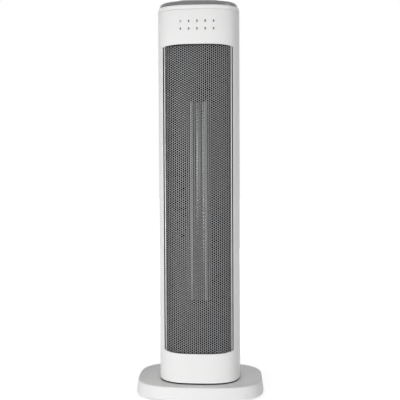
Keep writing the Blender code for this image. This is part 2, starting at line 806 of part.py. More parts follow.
def make_swing_motor(material, carrier):
    bottom = gear_top + SWING_MOTOR_LIFT
    top = bottom + SWING_MOTOR_HEIGHT
    can = rods("swing_motor", [(pinion_x, 0)], SWING_MOTOR_RADIUS, bottom, top, ROUND_STEPS)
    ear = rectangle(SWING_MOTOR_EAR, swing_motor_ear_y() + SWING_MOTOR_EAR, (pinion_x, 0))
    ears = plate("swing_motor_ears", [ear], bottom + CLEARANCE, bottom + SWING_MOTOR_EAR_THICKNESS)
    join(can, ears)
    bore_top = bottom + PINION_SHAFT_LENGTH + CLEARANCE
    bore_radius = PINION_SHAFT_RADIUS + CLEARANCE
    cut(can, rods("swing_motor_bore", [(pinion_x, 0)], bore_radius, bottom - OVERRUN, bore_top))
    return add_part(smooth(can), material, carrier)


# Tower shells


def make_tower_floor(material, carrier):
    loops = [tower_loop(inner_inset), circle(POST_RADIUS + RUNNING_GAP)]
    floor = plate("tower_floor", loops, body_bottom, floor_top)
    standoff_top = gear_top + SWING_MOTOR_LIFT
    places = [(pinion_x, -swing_motor_ear_y()), (pinion_x, swing_motor_ear_y())]
    join(floor, rods("standoffs", places, STANDOFF_RADIUS, floor_top - OVERLAP, standoff_top))
    return add_part(smooth(floor), material, carrier)


def pin_places():
    # The middle of each indicator window, as x and height.
    top = housing_top - PIN_DROP
    places = []
    for row in range(PIN_ROWS):
        for column in range(PIN_COLUMNS):
            x = PIN_PITCH_X * (column - (PIN_COLUMNS - 1) / 2)
            places.append((x, top - PIN_PITCH_Z * row))
    return places


def pin_boxes(grow, front, back):
    # Boxes round the pins, grown by a clearance, between two functions of x.
    boxes = []
    for x, height in pin_places():
        low = (x - PIN_WIDTH / 2 - grow, front(x), height - PIN_HEIGHT / 2 - grow)
        high = (x + PIN_WIDTH / 2 + grow, back(x), height + PIN_HEIGHT / 2 + grow)
        boxes.append((low, high))
    return boxes


def pin_outer_y(x):
    return -tower_y_at(0, abs(x) + PIN_WIDTH / 2)


def light_guide_front():
    reach = PIN_PITCH_X * (PIN_COLUMNS - 1) / 2 + LIGHT_GUIDE_MARGIN
    return CLEARANCE - tower_y_at(HOUSING_WALL, reach)


def grille_opening_loop():
    half = GRILLE_OPENING_WIDTH / 2
    lower = []
    upper = []
    for step in range(ARCH_STEPS + 1):
        share = 2 * step / ARCH_STEPS - 1
        bow = GRILLE_OPENING_ARCH * abs(share) ** GRILLE_OPENING_ARCH_POWER
        lower.append((share * half, opening_bottom + bow))
        upper.append((share * half, opening_top - bow))
    return lower + upper[::-1]


def make_front_housing(material, carrier):
    loop = tower_front_arc(0, HOUSING_SPLIT) + tower_front_arc(HOUSING_WALL, HOUSING_SPLIT)[::-1]
    housing = plate("front_housing", [loop], body_bottom, housing_top)
    depth = tower_y_at(HOUSING_WALL, GRILLE_OPENING_WIDTH / 2) - OVERRUN
    cut(housing, wall_plate("grille_opening", [grille_opening_loop()], -rear_face - OVERRUN, -depth))
    boxes = pin_boxes(CLEARANCE, lambda x: -rear_face - OVERRUN, lambda x: light_guide_front())
    cut(housing, blocks("indicator_windows", boxes))
    return add_part(smooth(housing), material, carrier)


def rear_screw_heights():
    half = REAR_BOSS_WIDTH / 2
    return lower_plate_bottom - half, upper_plate_top + half


def rear_screw_places():
    return [(x, z) for z in rear_screw_heights() for x in (-REAR_SCREW_X, REAR_SCREW_X)]


def rear_rods(name, radius, front, back, steps=SMALL_ROUND_STEPS):
    # Rods along Y at the rear screws, between two distances behind the middle.
    laid = Matrix.Rotation(math.radians(-90), 4, "X")
    places = [(x, -z) for x, z in rear_screw_places()]
    return rods(name, places, radius, front, back, steps, laid)


def rocker_opening_half():
    # Half of the opening in the bezel: across, and along the rocker.
    reach = math.hypot(ROCKER_HALF_LENGTH, ROCKER_SIDE) + RUNNING_GAP
    return ROCKER_WIDTH / 2 + CLEARANCE, reach


def make_rear_housing(material, carrier):
    split = HOUSING_SPLIT + CLEARANCE
    loop = tower_rear_arc(0, split) + tower_rear_arc(HOUSING_WALL, split)[::-1]
    housing = plate("rear_housing", [loop], body_bottom, housing_top)
    row_pitch = SLOT_FIELD_HEIGHT / SLOT_ROWS
    boxes = []
    for row in range(SLOT_ROWS):
        middle = body_bottom + SLOT_FIELD_LIFT + row_pitch * (row + 0.5)
        for column in range(SLOT_COLUMNS):
            x = SLOT_COLUMN_PITCH * (column - (SLOT_COLUMNS - 1) / 2)
            low = (x - SLOT_WIDTH / 2, rear_face - SLOT_DEPTH, middle - SLOT_HEIGHT / 2)
            high = (x + SLOT_WIDTH / 2, rear_face + OVERRUN, middle + SLOT_HEIGHT / 2)
            boxes.append((low, high))
    cut(housing, blocks("intake_slots", boxes))
    half_x = GRIP_WIDTH / 2 + GRIP_WALL + CLEARANCE
    half_z = GRIP_HEIGHT / 2 + GRIP_WALL + CLEARANCE
    low = (-half_x, rear_face - GRIP_DEPTH, grip_middle - half_z)
    high = (half_x, rear_face + OVERRUN, grip_middle + half_z)
    cut(housing, block("grip_opening", low, high))
    across, along = rocker_opening_half()
    across += BEZEL_WALL + CLEARANCE
    along += BEZEL_WALL + CLEARANCE
    low = (-across, rear_face - BEZEL_DEPTH, rocker_height - along)
    high = (across, rear_face + OVERRUN, rocker_height + along)
    cut(housing, block("switch_opening", low, high))
    radius = REAR_SCREW_RADIUS + CLEARANCE
    cut(housing, rear_rods("rear_screw_holes", radius, rear_face - SLOT_DEPTH, rear_face + OVERRUN))
    return add_part(smooth(housing), material, carrier)


def make_rear_screws(material, carrier):
    seat = tower_y_at(0, REAR_SCREW_X - REAR_SCREW_HEAD_RADIUS) + CLEARANCE
    profile = [
        (0, REAR_SCREW_LENGTH + REAR_SCREW_HEAD_HEIGHT),
        (REAR_SCREW_RADIUS, REAR_SCREW_LENGTH + REAR_SCREW_HEAD_HEIGHT),
        (REAR_SCREW_RADIUS, REAR_SCREW_HEAD_HEIGHT),
        (REAR_SCREW_HEAD_RADIUS, REAR_SCREW_HEAD_HEIGHT),
        (REAR_SCREW_HEAD_RADIUS, REAR_SCREW_HEAD_HEIGHT / 2),
        (REAR_SCREW_HEAD_RADIUS - REAR_SCREW_HEAD_HEIGHT / 2, 0),
        (0, 0),
    ]
    for number, (x, z) in enumerate(rear_screw_places(), 1):
        place = (x, seat + REAR_SCREW_HEAD_HEIGHT, z)
        screw = turned(f"rear_screw_{number}", profile, place, SMALL_ROUND_STEPS)
        screw.rotation_euler.x = math.radians(90)
        add_part(smooth(screw), material, carrier)


def make_grip_cup(material, carrier):
    outer_x = GRIP_WIDTH / 2 + GRIP_WALL
    outer_z = GRIP_HEIGHT / 2 + GRIP_WALL
    front = rear_face - GRIP_DEPTH - GRIP_WALL
    low = (-outer_x, front, grip_middle - outer_z)
    high = (outer_x, rear_face + OVERRUN, grip_middle + outer_z)
    cup = block("grip_cup", low, high)
    low = (-GRIP_WIDTH / 2, front + GRIP_WALL, grip_middle - GRIP_HEIGHT / 2)
    high = (GRIP_WIDTH / 2, rear_face + 2 * OVERRUN, grip_middle + GRIP_HEIGHT / 2)
    cut(cup, block("grip_hollow", low, high))
    bottom = grip_middle - outer_z - OVERRUN
    keep_inside(cup, plate("grip_limit", [tower_loop(0)], bottom, grip_middle + outer_z + OVERRUN))
    return add_part(cup, material, carrier)


# Rocker switch


def make_rocker_bezel(material, carrier):
    across, along = rocker_opening_half()
    hole = rectangle(across, along, (0, rocker_height))
    wall = rectangle(across + BEZEL_WALL, along + BEZEL_WALL, (0, rocker_height))
    rim = BEZEL_WALL + BEZEL_FLANGE
    flange = rectangle(across + rim, along + rim, (0, rocker_height))
    front = rear_face + CLEARANCE
    back = front + BEZEL_FLANGE_THICKNESS
    bezel = wall_plate("rocker_bezel", [wall, hole], rear_face - BEZEL_DEPTH, back)
    join(bezel, wall_plate("rocker_flange", [flange, hole], front, back))
    return add_part(bezel, material, carrier)


def make_rocker(material, axis):
    # Its section in Y and Z, extruded along X and tilted to the off side.
    section = [
        (-ROCKER_SIDE, -ROCKER_HALF_LENGTH),
        (ROCKER_NOSE, -ROCKER_HALF_LENGTH),
        (ROCKER_DIP, 0),
        (ROCKER_NOSE, ROCKER_HALF_LENGTH),
        (-ROCKER_SIDE, ROCKER_HALF_LENGTH),
        (-ROCKER_KEEL, ROCKER_KEEL_WIDTH / 2),
        (-ROCKER_KEEL, -ROCKER_KEEL_WIDTH / 2),
    ]
    rocker = plate("rocker", [section], 0, ROCKER_WIDTH)
    to_section = Matrix(((0, 0, 1, -ROCKER_WIDTH / 2), (1, 0, 0, 0), (0, 1, 0, 0), (0, 0, 0, 1)))
    rocker.data.transform(to_section)
    rocker.location = axis["world_place"]
    rocker.rotation_euler.x = ROCKER_TILT
    return add_part(rocker, material, axis)


# Grille and heating element


def make_front_grille(material, carrier):
    half = GRILLE_OPENING_WIDTH / 2 - GRILLE_SIDE_GAP
    outer = tower_face_arc(inner_inset, half, GRILLE_STEPS)
    inner = tower_face_arc(inner_inset + GRILLE_THICKNESS, half, GRILLE_STEPS)
    bottom = opening_bottom - GRILLE_LAP
    top = opening_top + GRILLE_LAP
    grille = plate("front_grille", [outer + inner[::-1]], bottom, top)
    pitch_x = (2 * half - 2 * GRILLE_MARGIN + GRILLE_BAR) / GRILLE_COLUMNS
    pitch_z = (GRILLE_OPENING_HEIGHT - 2 * GRILLE_MARGIN + GRILLE_BAR) / GRILLE_ROWS
    front = -rear_face - OVERRUN
    back = GRILLE_THICKNESS + OVERRUN - tower_y_at(inner_inset, half)
    boxes = []
    for row in range(GRILLE_ROWS):
        height = opening_bottom + GRILLE_MARGIN + pitch_z * row
        for column in range(GRILLE_COLUMNS):
            x = pitch_x * column - half + GRILLE_MARGIN
            high = (x + pitch_x - GRILLE_BAR, back, height + pitch_z - GRILLE_BAR)
            boxes.append(((x, front, height), high))
    cut(grille, blocks("grille_openings", boxes))
    return add_part(smooth(grille), material, carrier)


def element_front():
    return panel_back - ELEMENT_DEPTH


def make_element_tubes(material, carrier):
    for name, side in (("element_tube_left", -1), ("element_tube_right", 1)):
        middle = side * ELEMENT_TUBE_SPACING / 2
        low = (middle - ELEMENT_TUBE_WIDTH / 2, element_front(), element_bottom)
        high = (middle + ELEMENT_TUBE_WIDTH / 2, panel_back, element_top)
        add_part(block(name, low, high), material, carrier)


def fin_loop(low_x, high_x):
    # A corrugated strip: there and back between two tubes, all along the element.
    folds = int(ELEMENT_LENGTH / FIN_PITCH)
    rise = ELEMENT_LENGTH / folds / 2
    edge = []
    for step in range(2 * folds + 1):
        x = low_x if step % 2 else high_x - FIN_SHEET
        edge.append((x, element_bottom + rise * step))
    shifted = [(x + FIN_SHEET, z) for x, z in edge]
    return edge + shifted[::-1]


def make_element_fins(material, carrier):
    inside = ELEMENT_TUBE_SPACING / 2 - ELEMENT_TUBE_WIDTH / 2 - CLEARANCE
    outside = ELEMENT_TUBE_SPACING / 2 + ELEMENT_TUBE_WIDTH / 2 + CLEARANCE
    spans = (
        ("element_fins_left", -element_half, -outside),
        ("element_fins_middle", -inside, inside),
        ("element_fins_right", outside, element_half),
    )
    for name, low, high in spans:
        strip = wall_plate(name, [fin_loop(low, high)], element_front() + CLEARANCE, panel_back)
        add_part(strip, material, carrier)


def make_heater_panel(material, carrier):
    half = tower_x_at(inner_inset, panel_front)
    bottom = opening_bottom - GRILLE_LAP
    top = opening_top + GRILLE_LAP
    outline = rectangle(half, (top - bottom) / 2, (0, (top + bottom) / 2))
    middle = (element_top + element_bottom) / 2
    window = rectangle(window_half, ELEMENT_LENGTH / 2 + CLEARANCE, (0, middle))
    panel = wall_plate("heater_panel", [outline, window], panel_front, panel_back)
    return add_part(panel, material, carrier)


def make_heater_brackets(material, carrier):
    half = window_half + BRACKET_SIDE
    spans = (
        ("heater_bracket_lower", element_bottom - CLEARANCE - BRACKET_HEIGHT, element_bottom - CLEARANCE),
        ("heater_bracket_upper", element_top + CLEARANCE, element_top + CLEARANCE + BRACKET_HEIGHT),
    )
    for name, bottom, top in spans:
        low = (-half, element_front(), bottom)
        high = (half, panel_front - CLEARANCE, top)
        bracket = block(name, low, high)
        bevel = bracket.modifiers.new("rounded", "BEVEL")
        bevel.width = FIN_SHEET
        bevel.segments = 1
        add_part(bracket, material, carrier)


def make_thermal_cutout(material, carrier):
    height = element_top + CLEARANCE + BRACKET_HEIGHT + CUTOUT_LIFT
    profile = [
        (0, CUTOUT_HEIGHT),
        (CUTOUT_RADIUS * CUTOUT_CAP_SHARE, CUTOUT_HEIGHT),
        (CUTOUT_RADIUS * CUTOUT_CAP_SHARE, CUTOUT_HEIGHT / 2),
        (CUTOUT_RADIUS, CUTOUT_HEIGHT / 2),
        (CUTOUT_RADIUS, 0),
        (0, 0),
    ]
    cutout = turned("thermal_cutout", profile, (0, panel_front - CLEARANCE, height), SMALL_ROUND_STEPS)
    cutout.rotation_euler.x = math.radians(90)
    return add_part(smooth(cutout), material, carrier)


# Blower


def blower_plate_loop():
    return tower_rear_arc(inner_inset, panel_back + CLEARANCE)


def rear_boss_boxes(bottom, top):
    back = tower_y_at(inner_inset, REAR_SCREW_X + REAR_BOSS_WIDTH / 2)
    boxes = []
    for x in (-REAR_SCREW_X, REAR_SCREW_X):
        low = (x - REAR_BOSS_WIDTH / 2, back - REAR_BOSS_LENGTH, bottom)
        boxes.append((low, (x + REAR_BOSS_WIDTH / 2, back, top)))
    return boxes


def make_blower_plates(material, carrier):
    lower_height, upper_height = rear_screw_heights()
    half = REAR_BOSS_WIDTH / 2
    spigot = circle(FAN_MOTOR_SPIGOT_RADIUS + CLEARANCE, (0, fan_y))
    lower = plate("blower_plate_lower", [blower_plate_loop(), spigot], lower_plate_bottom, lower_plate_top)
    join(lower, blocks("lower_bosses", rear_boss_boxes(lower_height - half, lower_plate_bottom + OVERLAP)))
    bush = circle(BEARING_RADIUS + CLEARANCE, (0, fan_y))
    upper = plate("blower_plate_upper", [blower_plate_loop(), bush], upper_plate_bottom, upper_plate_top)
    join(upper, blocks("upper_bosses", rear_boss_boxes(upper_plate_top - OVERLAP, upper_height + half)))
    radius = REAR_SCREW_RADIUS + CLEARANCE
    seat = tower_y_at(0, REAR_SCREW_X - REAR_SCREW_HEAD_RADIUS)
    holes = rear_rods("rear_boss_holes", radius, seat - REAR_SCREW_LENGTH, rear_face)
    for obj in (lower, upper):
        cut(obj, holes)
        add_part(smooth(obj), material, carrier)


def spiral(start_angle, start_radius, end_angle, end_radius):
    # A strip round the fan's axis whose radius, at its outer face, changes steadily with the angle.
    outer = []
    inner = []
    for step in range(SMALL_ROUND_STEPS + 1):
        share = step / SMALL_ROUND_STEPS
        angle = start_angle + (end_angle - start_angle) * share
        radius = start_radius + (end_radius - start_radius) * share
        outer.append((radius * math.cos(angle), fan_y + radius * math.sin(angle)))
        radius -= GUIDE_THICKNESS
        inner.append((radius * math.cos(angle), fan_y + radius * math.sin(angle)))
    return outer + inner[::-1]


def make_air_guides(material, carrier):
    # Both guides start beside the heater panel's window and close in on the wheel.
    drop = fan_y - panel_back - CLEARANCE
    start_radius = math.hypot(window_half, drop)
    end_radius = FAN_RADIUS + GUIDE_ROOM + GUIDE_THICKNESS
    bottom = lower_plate_top + CLEARANCE
    top = upper_plate_bottom - CLEARANCE
    right_angle = math.atan2(-drop, window_half)
    left_angle = math.pi - right_angle
    scroll = spiral(left_angle, start_radius, SCROLL_END_ANGLE, end_radius)
    add_part(smooth(plate("scroll_panel", [scroll], bottom, top)), material, carrier)
    cutoff = spiral(right_angle, start_radius, CUTOFF_END_ANGLE, end_radius)
    add_part(smooth(plate("cutoff_panel", [cutoff], bottom, top)), material, carrier)


def blade_loop(turn):
    # A straight blade that leans forward, from the wheel's rim inwards.
    outer = Vector((math.cos(turn), math.sin(turn))) * (FAN_RADIUS - FAN_BLADE_THICKNESS)
    leaned = turn + FAN_BLADE_LEAN
    along = Vector((math.cos(leaned), math.sin(leaned))) * FAN_BLADE_DEPTH
    across = Vector((-along.y, along.x)).normalized() * FAN_BLADE_THICKNESS / 2
    return [outer - across, outer + across, outer + across - along, outer - across - along]


def make_fan(wheel_material, shaft_material, axis):
    bore = circle(FAN_SHAFT_RADIUS + CLEARANCE, (0, 0), SMALL_ROUND_STEPS)
    rim = circle(FAN_RADIUS)
    wheel = plate("fan_wheel", [rim, bore], fan_bottom, fan_bottom + FAN_DISC)
    lid = plate("fan_lid", [rim, bore], fan_top - FAN_DISC, fan_top)
    blades = plate(
        "fan_blades",
        [blade_loop(FULL_TURN * blade / FAN_BLADES) for blade in range(FAN_BLADES)],
        fan_bottom + FAN_DISC - OVERLAP,
        fan_top - FAN_DISC + OVERLAP,
    )
    join(wheel, blades)
    join(wheel, lid)
    for obj in (wheel, lid, blades):
        obj.location.y = fan_y
    add_part(smooth(wheel), wheel_material, axis)
    bottom = lower_plate_bottom - FAN_SHAFT_SEAT
    top = upper_plate_top
    shaft = rods("fan_shaft", [(0, 0)], FAN_SHAFT_RADIUS, 0, top - bottom)
    shaft.location = (0, fan_y, bottom)
    add_part(smooth(shaft), shaft_material, axis)


def make_fan_bearing(material, carrier):
    bottom = upper_plate_bottom
    top = upper_plate_top + CLEARANCE + BEARING_FLANGE_THICKNESS
    profile = [
        (FAN_SHAFT_RADIUS + CLEARANCE, top - bottom),
        (BEARING_FLANGE_RADIUS, top - bottom),
        (BEARING_FLANGE_RADIUS, top - BEARING_FLANGE_THICKNESS - bottom),
        (BEARING_RADIUS, top - BEARING_FLANGE_THICKNESS - bottom),
        (BEARING_RADIUS, 0),
        (FAN_SHAFT_RADIUS + CLEARANCE, 0),
    ]
    bearing = turned("fan_bearing", profile, (0, fan_y, bottom), SMALL_ROUND_STEPS, closed=True)
    return add_part(smooth(bearing), material, carrier)


def make_fan_motor(material, carrier):
    can_top = lower_plate_bottom - CLEARANCE
    bottom = can_top - FAN_MOTOR_HEIGHT
    bore_bottom = lower_plate_bottom - FAN_SHAFT_SEAT - CLEARANCE
    bore_radius = FAN_SHAFT_RADIUS + CLEARANCE
    profile = [
        (0, bore_bottom - bottom),
        (bore_radius, bore_bottom - bottom),
        (bore_radius, lower_plate_top - bottom),
        (FAN_MOTOR_SPIGOT_RADIUS, lower_plate_top - bottom),
        (FAN_MOTOR_SPIGOT_RADIUS, can_top - bottom),
        (FAN_MOTOR_RADIUS, can_top - bottom),
        (FAN_MOTOR_RADIUS, 0),
        (0, 0),
    ]
    motor = turned("fan_motor", profile, (0, fan_y, bottom))
    return add_part(smooth(motor), material, carrier)


def make_power_board(material, carrier):
    half = POWER_BOARD_WIDTH / 2
    bottom = floor_top + CLEARANCE
    front = POWER_BOARD_BACK - POWER_BOARD_THICKNESS
    low = (-half, front, bottom)
    high = (half, POWER_BOARD_BACK, bottom + POWER_BOARD_HEIGHT)
    board = block("power_board", low, high)
    root = POWER_BOARD_BACK - POWER_BOARD_THICKNESS / 2
    low = (RELAY_SIDE - half, root, bottom + RELAY_LIFT)
    back = POWER_BOARD_BACK + RELAY_DEPTH
    high = (RELAY_SIDE + RELAY_WIDTH - half, back, bottom + RELAY_LIFT + RELAY_HEIGHT)
    join(board, block("relay", low, high))
    edge = CAPACITOR_RADIUS * 2
    end = POWER_BOARD_BACK + CAPACITOR_HEIGHT
    laid = Matrix.Rotation(math.radians(-90), 4, "X")
    place = (half - edge, -bottom - edge)
    join(board, rods("capacitor", [place], CAPACITOR_RADIUS, root, end, turn=laid))
    return add_part(board, material, carrier)


# Indicators


def make_indicators(guide_material, board_material, carrier):
    half = PIN_PITCH_X * (PIN_COLUMNS - 1) / 2 + LIGHT_GUIDE_MARGIN
    top = housing_top - PIN_DROP + PIN_HEIGHT / 2 + LIGHT_GUIDE_MARGIN
    bottom = top - PIN_PITCH_Z * (PIN_ROWS - 1) - PIN_HEIGHT - 2 * LIGHT_GUIDE_MARGIN
    front = light_guide_front()
    back = front + LIGHT_GUIDE_THICKNESS
    guide = block("light_guide", (-half, front, bottom), (half, back, top))
    root = front + LIGHT_GUIDE_THICKNESS / 2
    pins = blocks("light_pins", pin_boxes(0, pin_outer_y, lambda x: root))
    join(guide, pins)
    add_part(guide, guide_material, carrier)
    low = (-half, back + CLEARANCE, bottom)
    high = (half, back + CLEARANCE + BOARD_THICKNESS, top)
    add_part(block("indicator_board", low, high), board_material, carrier)


# Top


def console_loop(inset):
    half_x = CONSOLE_WIDTH / 2 - inset
    half_y = CONSOLE_DEPTH / 2 - inset
    return superellipse(half_x, half_y, CONSOLE_SQUARENESS, ROUND_STEPS)


def make_top_cap(material, carrier):
    cap = plate("top_cap", [tower_loop(0)], cap_bottom, cap_top)
    round_upper_edge(cap, CAP_ROUND)
    hollow_top = cap_top - HOUSING_WALL
    cut(cap, plate("cap_hollow", [tower_loop(HOUSING_WALL)], cap_bottom - OVERRUN, hollow_top))
    loops = [tower_loop(inner_inset), tower_loop(inner_inset + CAP_SKIRT_WALL)]
    join(cap, plate("cap_skirt", loops, cap_bottom - CAP_SKIRT, hollow_top + OVERLAP))
    return add_part(smooth(cap), material, carrier)


def make_top_trim(material, carrier):
    trim = plate("top_trim", [tower_loop(TRIM_INSET)], trim_bottom, trim_top)
    round_upper_edge(trim, TRIM_ROUND)
    loop = console_loop(-CLEARANCE)
    cut(trim, plate("console_opening", [loop], trim_bottom - OVERRUN, trim_top + OVERRUN))
    return add_part(smooth(trim), material, carrier)


def button_places():
    first = -BUTTON_PITCH * (BUTTON_COUNT - 1) / 2
    return [(first + BUTTON_PITCH * number, 0) for number in range(BUTTON_COUNT)]


def make_console(material, carrier):
    console = plate("control_console", [console_loop(0)], console_bottom, console_top)
    round_upper_edge(console, CONSOLE_ROUND)
    ceiling = console_top - CONSOLE_WALL
    cut(console, plate("console_hollow", [console_loop(CONSOLE_WALL)], console_bottom - OVERRUN, ceiling))
    radius = BUTTON_RADIUS + CLEARANCE
    below = ceiling - OVERRUN
    above = console_top + OVERRUN
    cut(console, rods("button_holes", button_places(), radius, below, above, BUTTON_STEPS))
    return add_part(smooth(console), material, carrier)


def button_board_top():
    return console_bottom + BOARD_THICKNESS


def make_button_board(material, carrier):
    loop = console_loop(CONSOLE_WALL + BUTTON_BOARD_MARGIN)
    return add_part(plate("button_board", [loop], console_bottom, button_board_top()), material, carrier)


def make_button(number, place, material, axis):
    flange_top = console_top - CONSOLE_WALL - CLEARANCE
    bottom = button_board_top() + BUTTON_TRAVEL + CLEARANCE
    top = console_top + BUTTON_PROUD
    profile = [
        (0, top - bottom),
        (BUTTON_RADIUS - BUTTON_DOME, top - bottom),
        (BUTTON_RADIUS, top - BUTTON_DOME - bottom),
        (BUTTON_RADIUS, flange_top - bottom),
        (BUTTON_RADIUS + BUTTON_FLANGE, flange_top - bottom),
        (BUTTON_RADIUS + BUTTON_FLANGE, flange_top - BUTTON_FLANGE - bottom),
        (BUTTON_STEM_RADIUS, flange_top - BUTTON_FLANGE - bottom),
        (BUTTON_STEM_RADIUS, 0),
        (0, 0),
    ]
    button = turned(f"button_{number}", profile, (*place, bottom), BUTTON_STEPS)
    return add_part(smooth(button), material, axis)


# Assembly

clear_scene()
parts = new_collection("tower_heater")
cutters = new_collection("cutters")

white_plastic = new_material("white_plastic", (0.82, 0.82, 0.8), 0.4)
black_gloss = new_material("black_gloss", (0.06, 0.06, 0.065), 0.15)
grey_plastic = new_material("grey_plastic", (0.6, 0.61, 0.62), 0.4)
black_plastic = new_material("black_plastic", (0.03, 0.03, 0.03), 0.5)
grille_metal = new_material("grille_metal", (0.5, 0.5, 0.51), 0.4, 1.0)
aluminium = new_material("aluminium", (0.75, 0.75, 0.76), 0.35, 1.0)
steel = new_material("steel", (0.55, 0.55, 0.57), 0.35, 1.0)
natural_plastic = new_material("natural_plastic", (0.75, 0.74, 0.68), 0.45)
light_plastic = new_material("light_plastic", (0.35, 0.36, 0.38), 0.2)
board_green = new_material("board_green", (0.05, 0.22, 0.1), 0.45)
rubber = new_material("rubber", (0.04, 0.04, 0.04), 0.8)

base = new_axis("base", (0, 0, 0))
tower = new_axis("tower", (0, 0, body_bottom), base)
pinion = new_axis("pinion", (pinion_x, 0, gear_bottom), tower)
fan = new_axis("fan", (0, fan_y, fan_bottom), tower)
rocker_body = new_axis("rocker_body", (0, rear_face - ROCKER_SINK, rocker_height), tower)
plunger_body = new_axis("plunger_body", (*plunger_place(), CLEARANCE), base)

make_base_cover(white_plastic, base)
make_base_plate(black_plastic, base)
make_feet(rubber, base)
make_base_screws(steel, base)
make_cord_gland(rubber, base)
make_tip_switch(black_plastic, natural_plastic, base, plunger_body)
make_turntable(natural_plastic, natural_plastic, base)
make_fixed_gear(natural_plastic, base)
make_swing_pinion(natural_plastic, pinion)
make_swing_motor(steel, tower)
make_tower_floor(black_plastic, tower)
make_front_housing(white_plastic, tower)
make_rear_housing(white_plastic, tower)
make_rear_screws(steel, tower)
make_grip_cup(white_plastic, tower)
make_rocker_bezel(black_plastic, tower)
make_rocker(black_plastic, rocker_body)
make_front_grille(grille_metal, tower)
make_element_tubes(aluminium, tower)
make_element_fins(aluminium, tower)
make_heater_panel(black_plastic, tower)
make_heater_brackets(black_plastic, tower)
make_thermal_cutout(steel, tower)
make_blower_plates(black_plastic, tower)
make_air_guides(black_plastic, tower)
make_fan(black_plastic, steel, fan)
make_fan_bearing(rubber, tower)
make_fan_motor(steel, tower)
make_power_board(board_green, tower)
make_indicators(light_plastic, board_green, tower)
make_top_cap(white_plastic, tower)
make_top_trim(black_gloss, tower)
make_console(grey_plastic, tower)
make_button_board(board_green, tower)
for count, spot in enumerate(button_places(), 1):
    button_axis = new_axis(f"button_axis_{count}", (*spot, console_top), tower)
    make_button(count, spot, grey_plastic, button_axis)
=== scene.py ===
import json
import math

import bmesh
import bpy
from mathutils import Matrix, Vector


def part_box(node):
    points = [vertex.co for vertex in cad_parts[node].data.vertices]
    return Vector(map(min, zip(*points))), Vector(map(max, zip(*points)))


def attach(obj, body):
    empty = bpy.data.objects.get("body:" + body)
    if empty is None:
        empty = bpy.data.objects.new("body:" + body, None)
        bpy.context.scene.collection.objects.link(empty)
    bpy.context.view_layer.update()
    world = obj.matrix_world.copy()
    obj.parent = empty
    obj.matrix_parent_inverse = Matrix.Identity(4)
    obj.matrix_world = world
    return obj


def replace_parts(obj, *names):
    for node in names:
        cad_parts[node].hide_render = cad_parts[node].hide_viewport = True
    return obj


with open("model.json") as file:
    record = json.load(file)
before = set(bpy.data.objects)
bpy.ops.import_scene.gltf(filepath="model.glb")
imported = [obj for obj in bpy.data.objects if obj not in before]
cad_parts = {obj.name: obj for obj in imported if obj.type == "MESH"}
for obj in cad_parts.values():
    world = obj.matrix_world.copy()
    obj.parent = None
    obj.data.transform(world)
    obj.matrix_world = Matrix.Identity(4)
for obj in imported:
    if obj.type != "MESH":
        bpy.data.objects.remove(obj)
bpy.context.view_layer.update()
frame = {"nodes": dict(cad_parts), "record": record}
nodes = frame["nodes"]
mm = 0.001
print("frame loaded:", len(nodes), "pieces")


# Node tools

def addNode(tree, kind, **settings):
    node = tree.nodes.new(kind)
    for key, value in settings.items():
        setattr(node, key, value)
    return node


def plug(tree, socket, value):
    if isinstance(value, bpy.types.NodeSocket):
        tree.links.new(value, socket)
    else:
        socket.default_value = value


def calc(tree, operation, first, second=0.0, clamp=False):
    node = addNode(tree, "ShaderNodeMath", operation=operation, use_clamp=clamp)
    plug(tree, node.inputs[0], first)
    plug(tree, node.inputs[1], second)
    return node.outputs[0]


def noise(tree, vector, scale, detail=3.0):
    node = addNode(tree, "ShaderNodeTexNoise")
    plug(tree, node.inputs["Vector"], vector)
    node.inputs["Scale"].default_value = scale
    node.inputs["Detail"].default_value = detail
    node.inputs["Roughness"].default_value = 0.5
    return node.outputs["Fac"]


def mapRange(tree, value, low, high, newLow, newHigh):
    node = addNode(tree, "ShaderNodeMapRange")
    for socket, given in zip(node.inputs, (value, low, high, newLow, newHigh)):
        plug(tree, socket, given)
    return node.outputs[0]


def spread(tree, value, low, high):
    # A noise value's usual range, 0.3 to 0.7, spread over a new one.
    return mapRange(tree, value, 0.3, 0.7, low, high)


def stretched(tree, factors):
    place = addNode(tree, "ShaderNodeNewGeometry")
    node = addNode(tree, "ShaderNodeMapping")
    tree.links.new(place.outputs["Position"], node.inputs["Vector"])
    node.inputs["Scale"].default_value = factors
    return node.outputs["Vector"]


def newGroup(name, inputs, outputs):
    group = bpy.data.node_groups.new(name, "ShaderNodeTree")
    for label, kind, default in inputs:
        socket = group.interface.new_socket(name=label, in_out="INPUT", socket_type=kind)
        socket.default_value = default
    for label, kind in outputs:
        group.interface.new_socket(name=label, in_out="OUTPUT", socket_type=kind)
    return group, addNode(group, "NodeGroupInput"), addNode(group, "NodeGroupOutput")


# Shared effects: each gives a colour, a roughness and a height

effectOutputs = [
    ("Base Color", "NodeSocketColor"), ("Roughness", "NodeSocketFloat"), ("Bump Height", "NodeSocketFloat"),
]
evenScale = (1, 1, 1)
moulded = {"grainScale": 2600.0, "dustScale": 9.0, "roughnessChange": 0.05}
drawn = {"lineScale": (900.0, 900.0, 14.0), "lineShare": 0.6, "spotScale": 60.0, "spotShare": 0.4}


def shadeColor(group, color, change, target):
    # The colour made lighter or darker by a share.
    scaled = addNode(group, "ShaderNodeVectorMath", operation="SCALE")
    group.links.new(color, scaled.inputs[0])
    group.links.new(calc(group, "ADD", change, 1.0), scaled.inputs["Scale"])
    group.links.new(scaled.outputs[0], target)


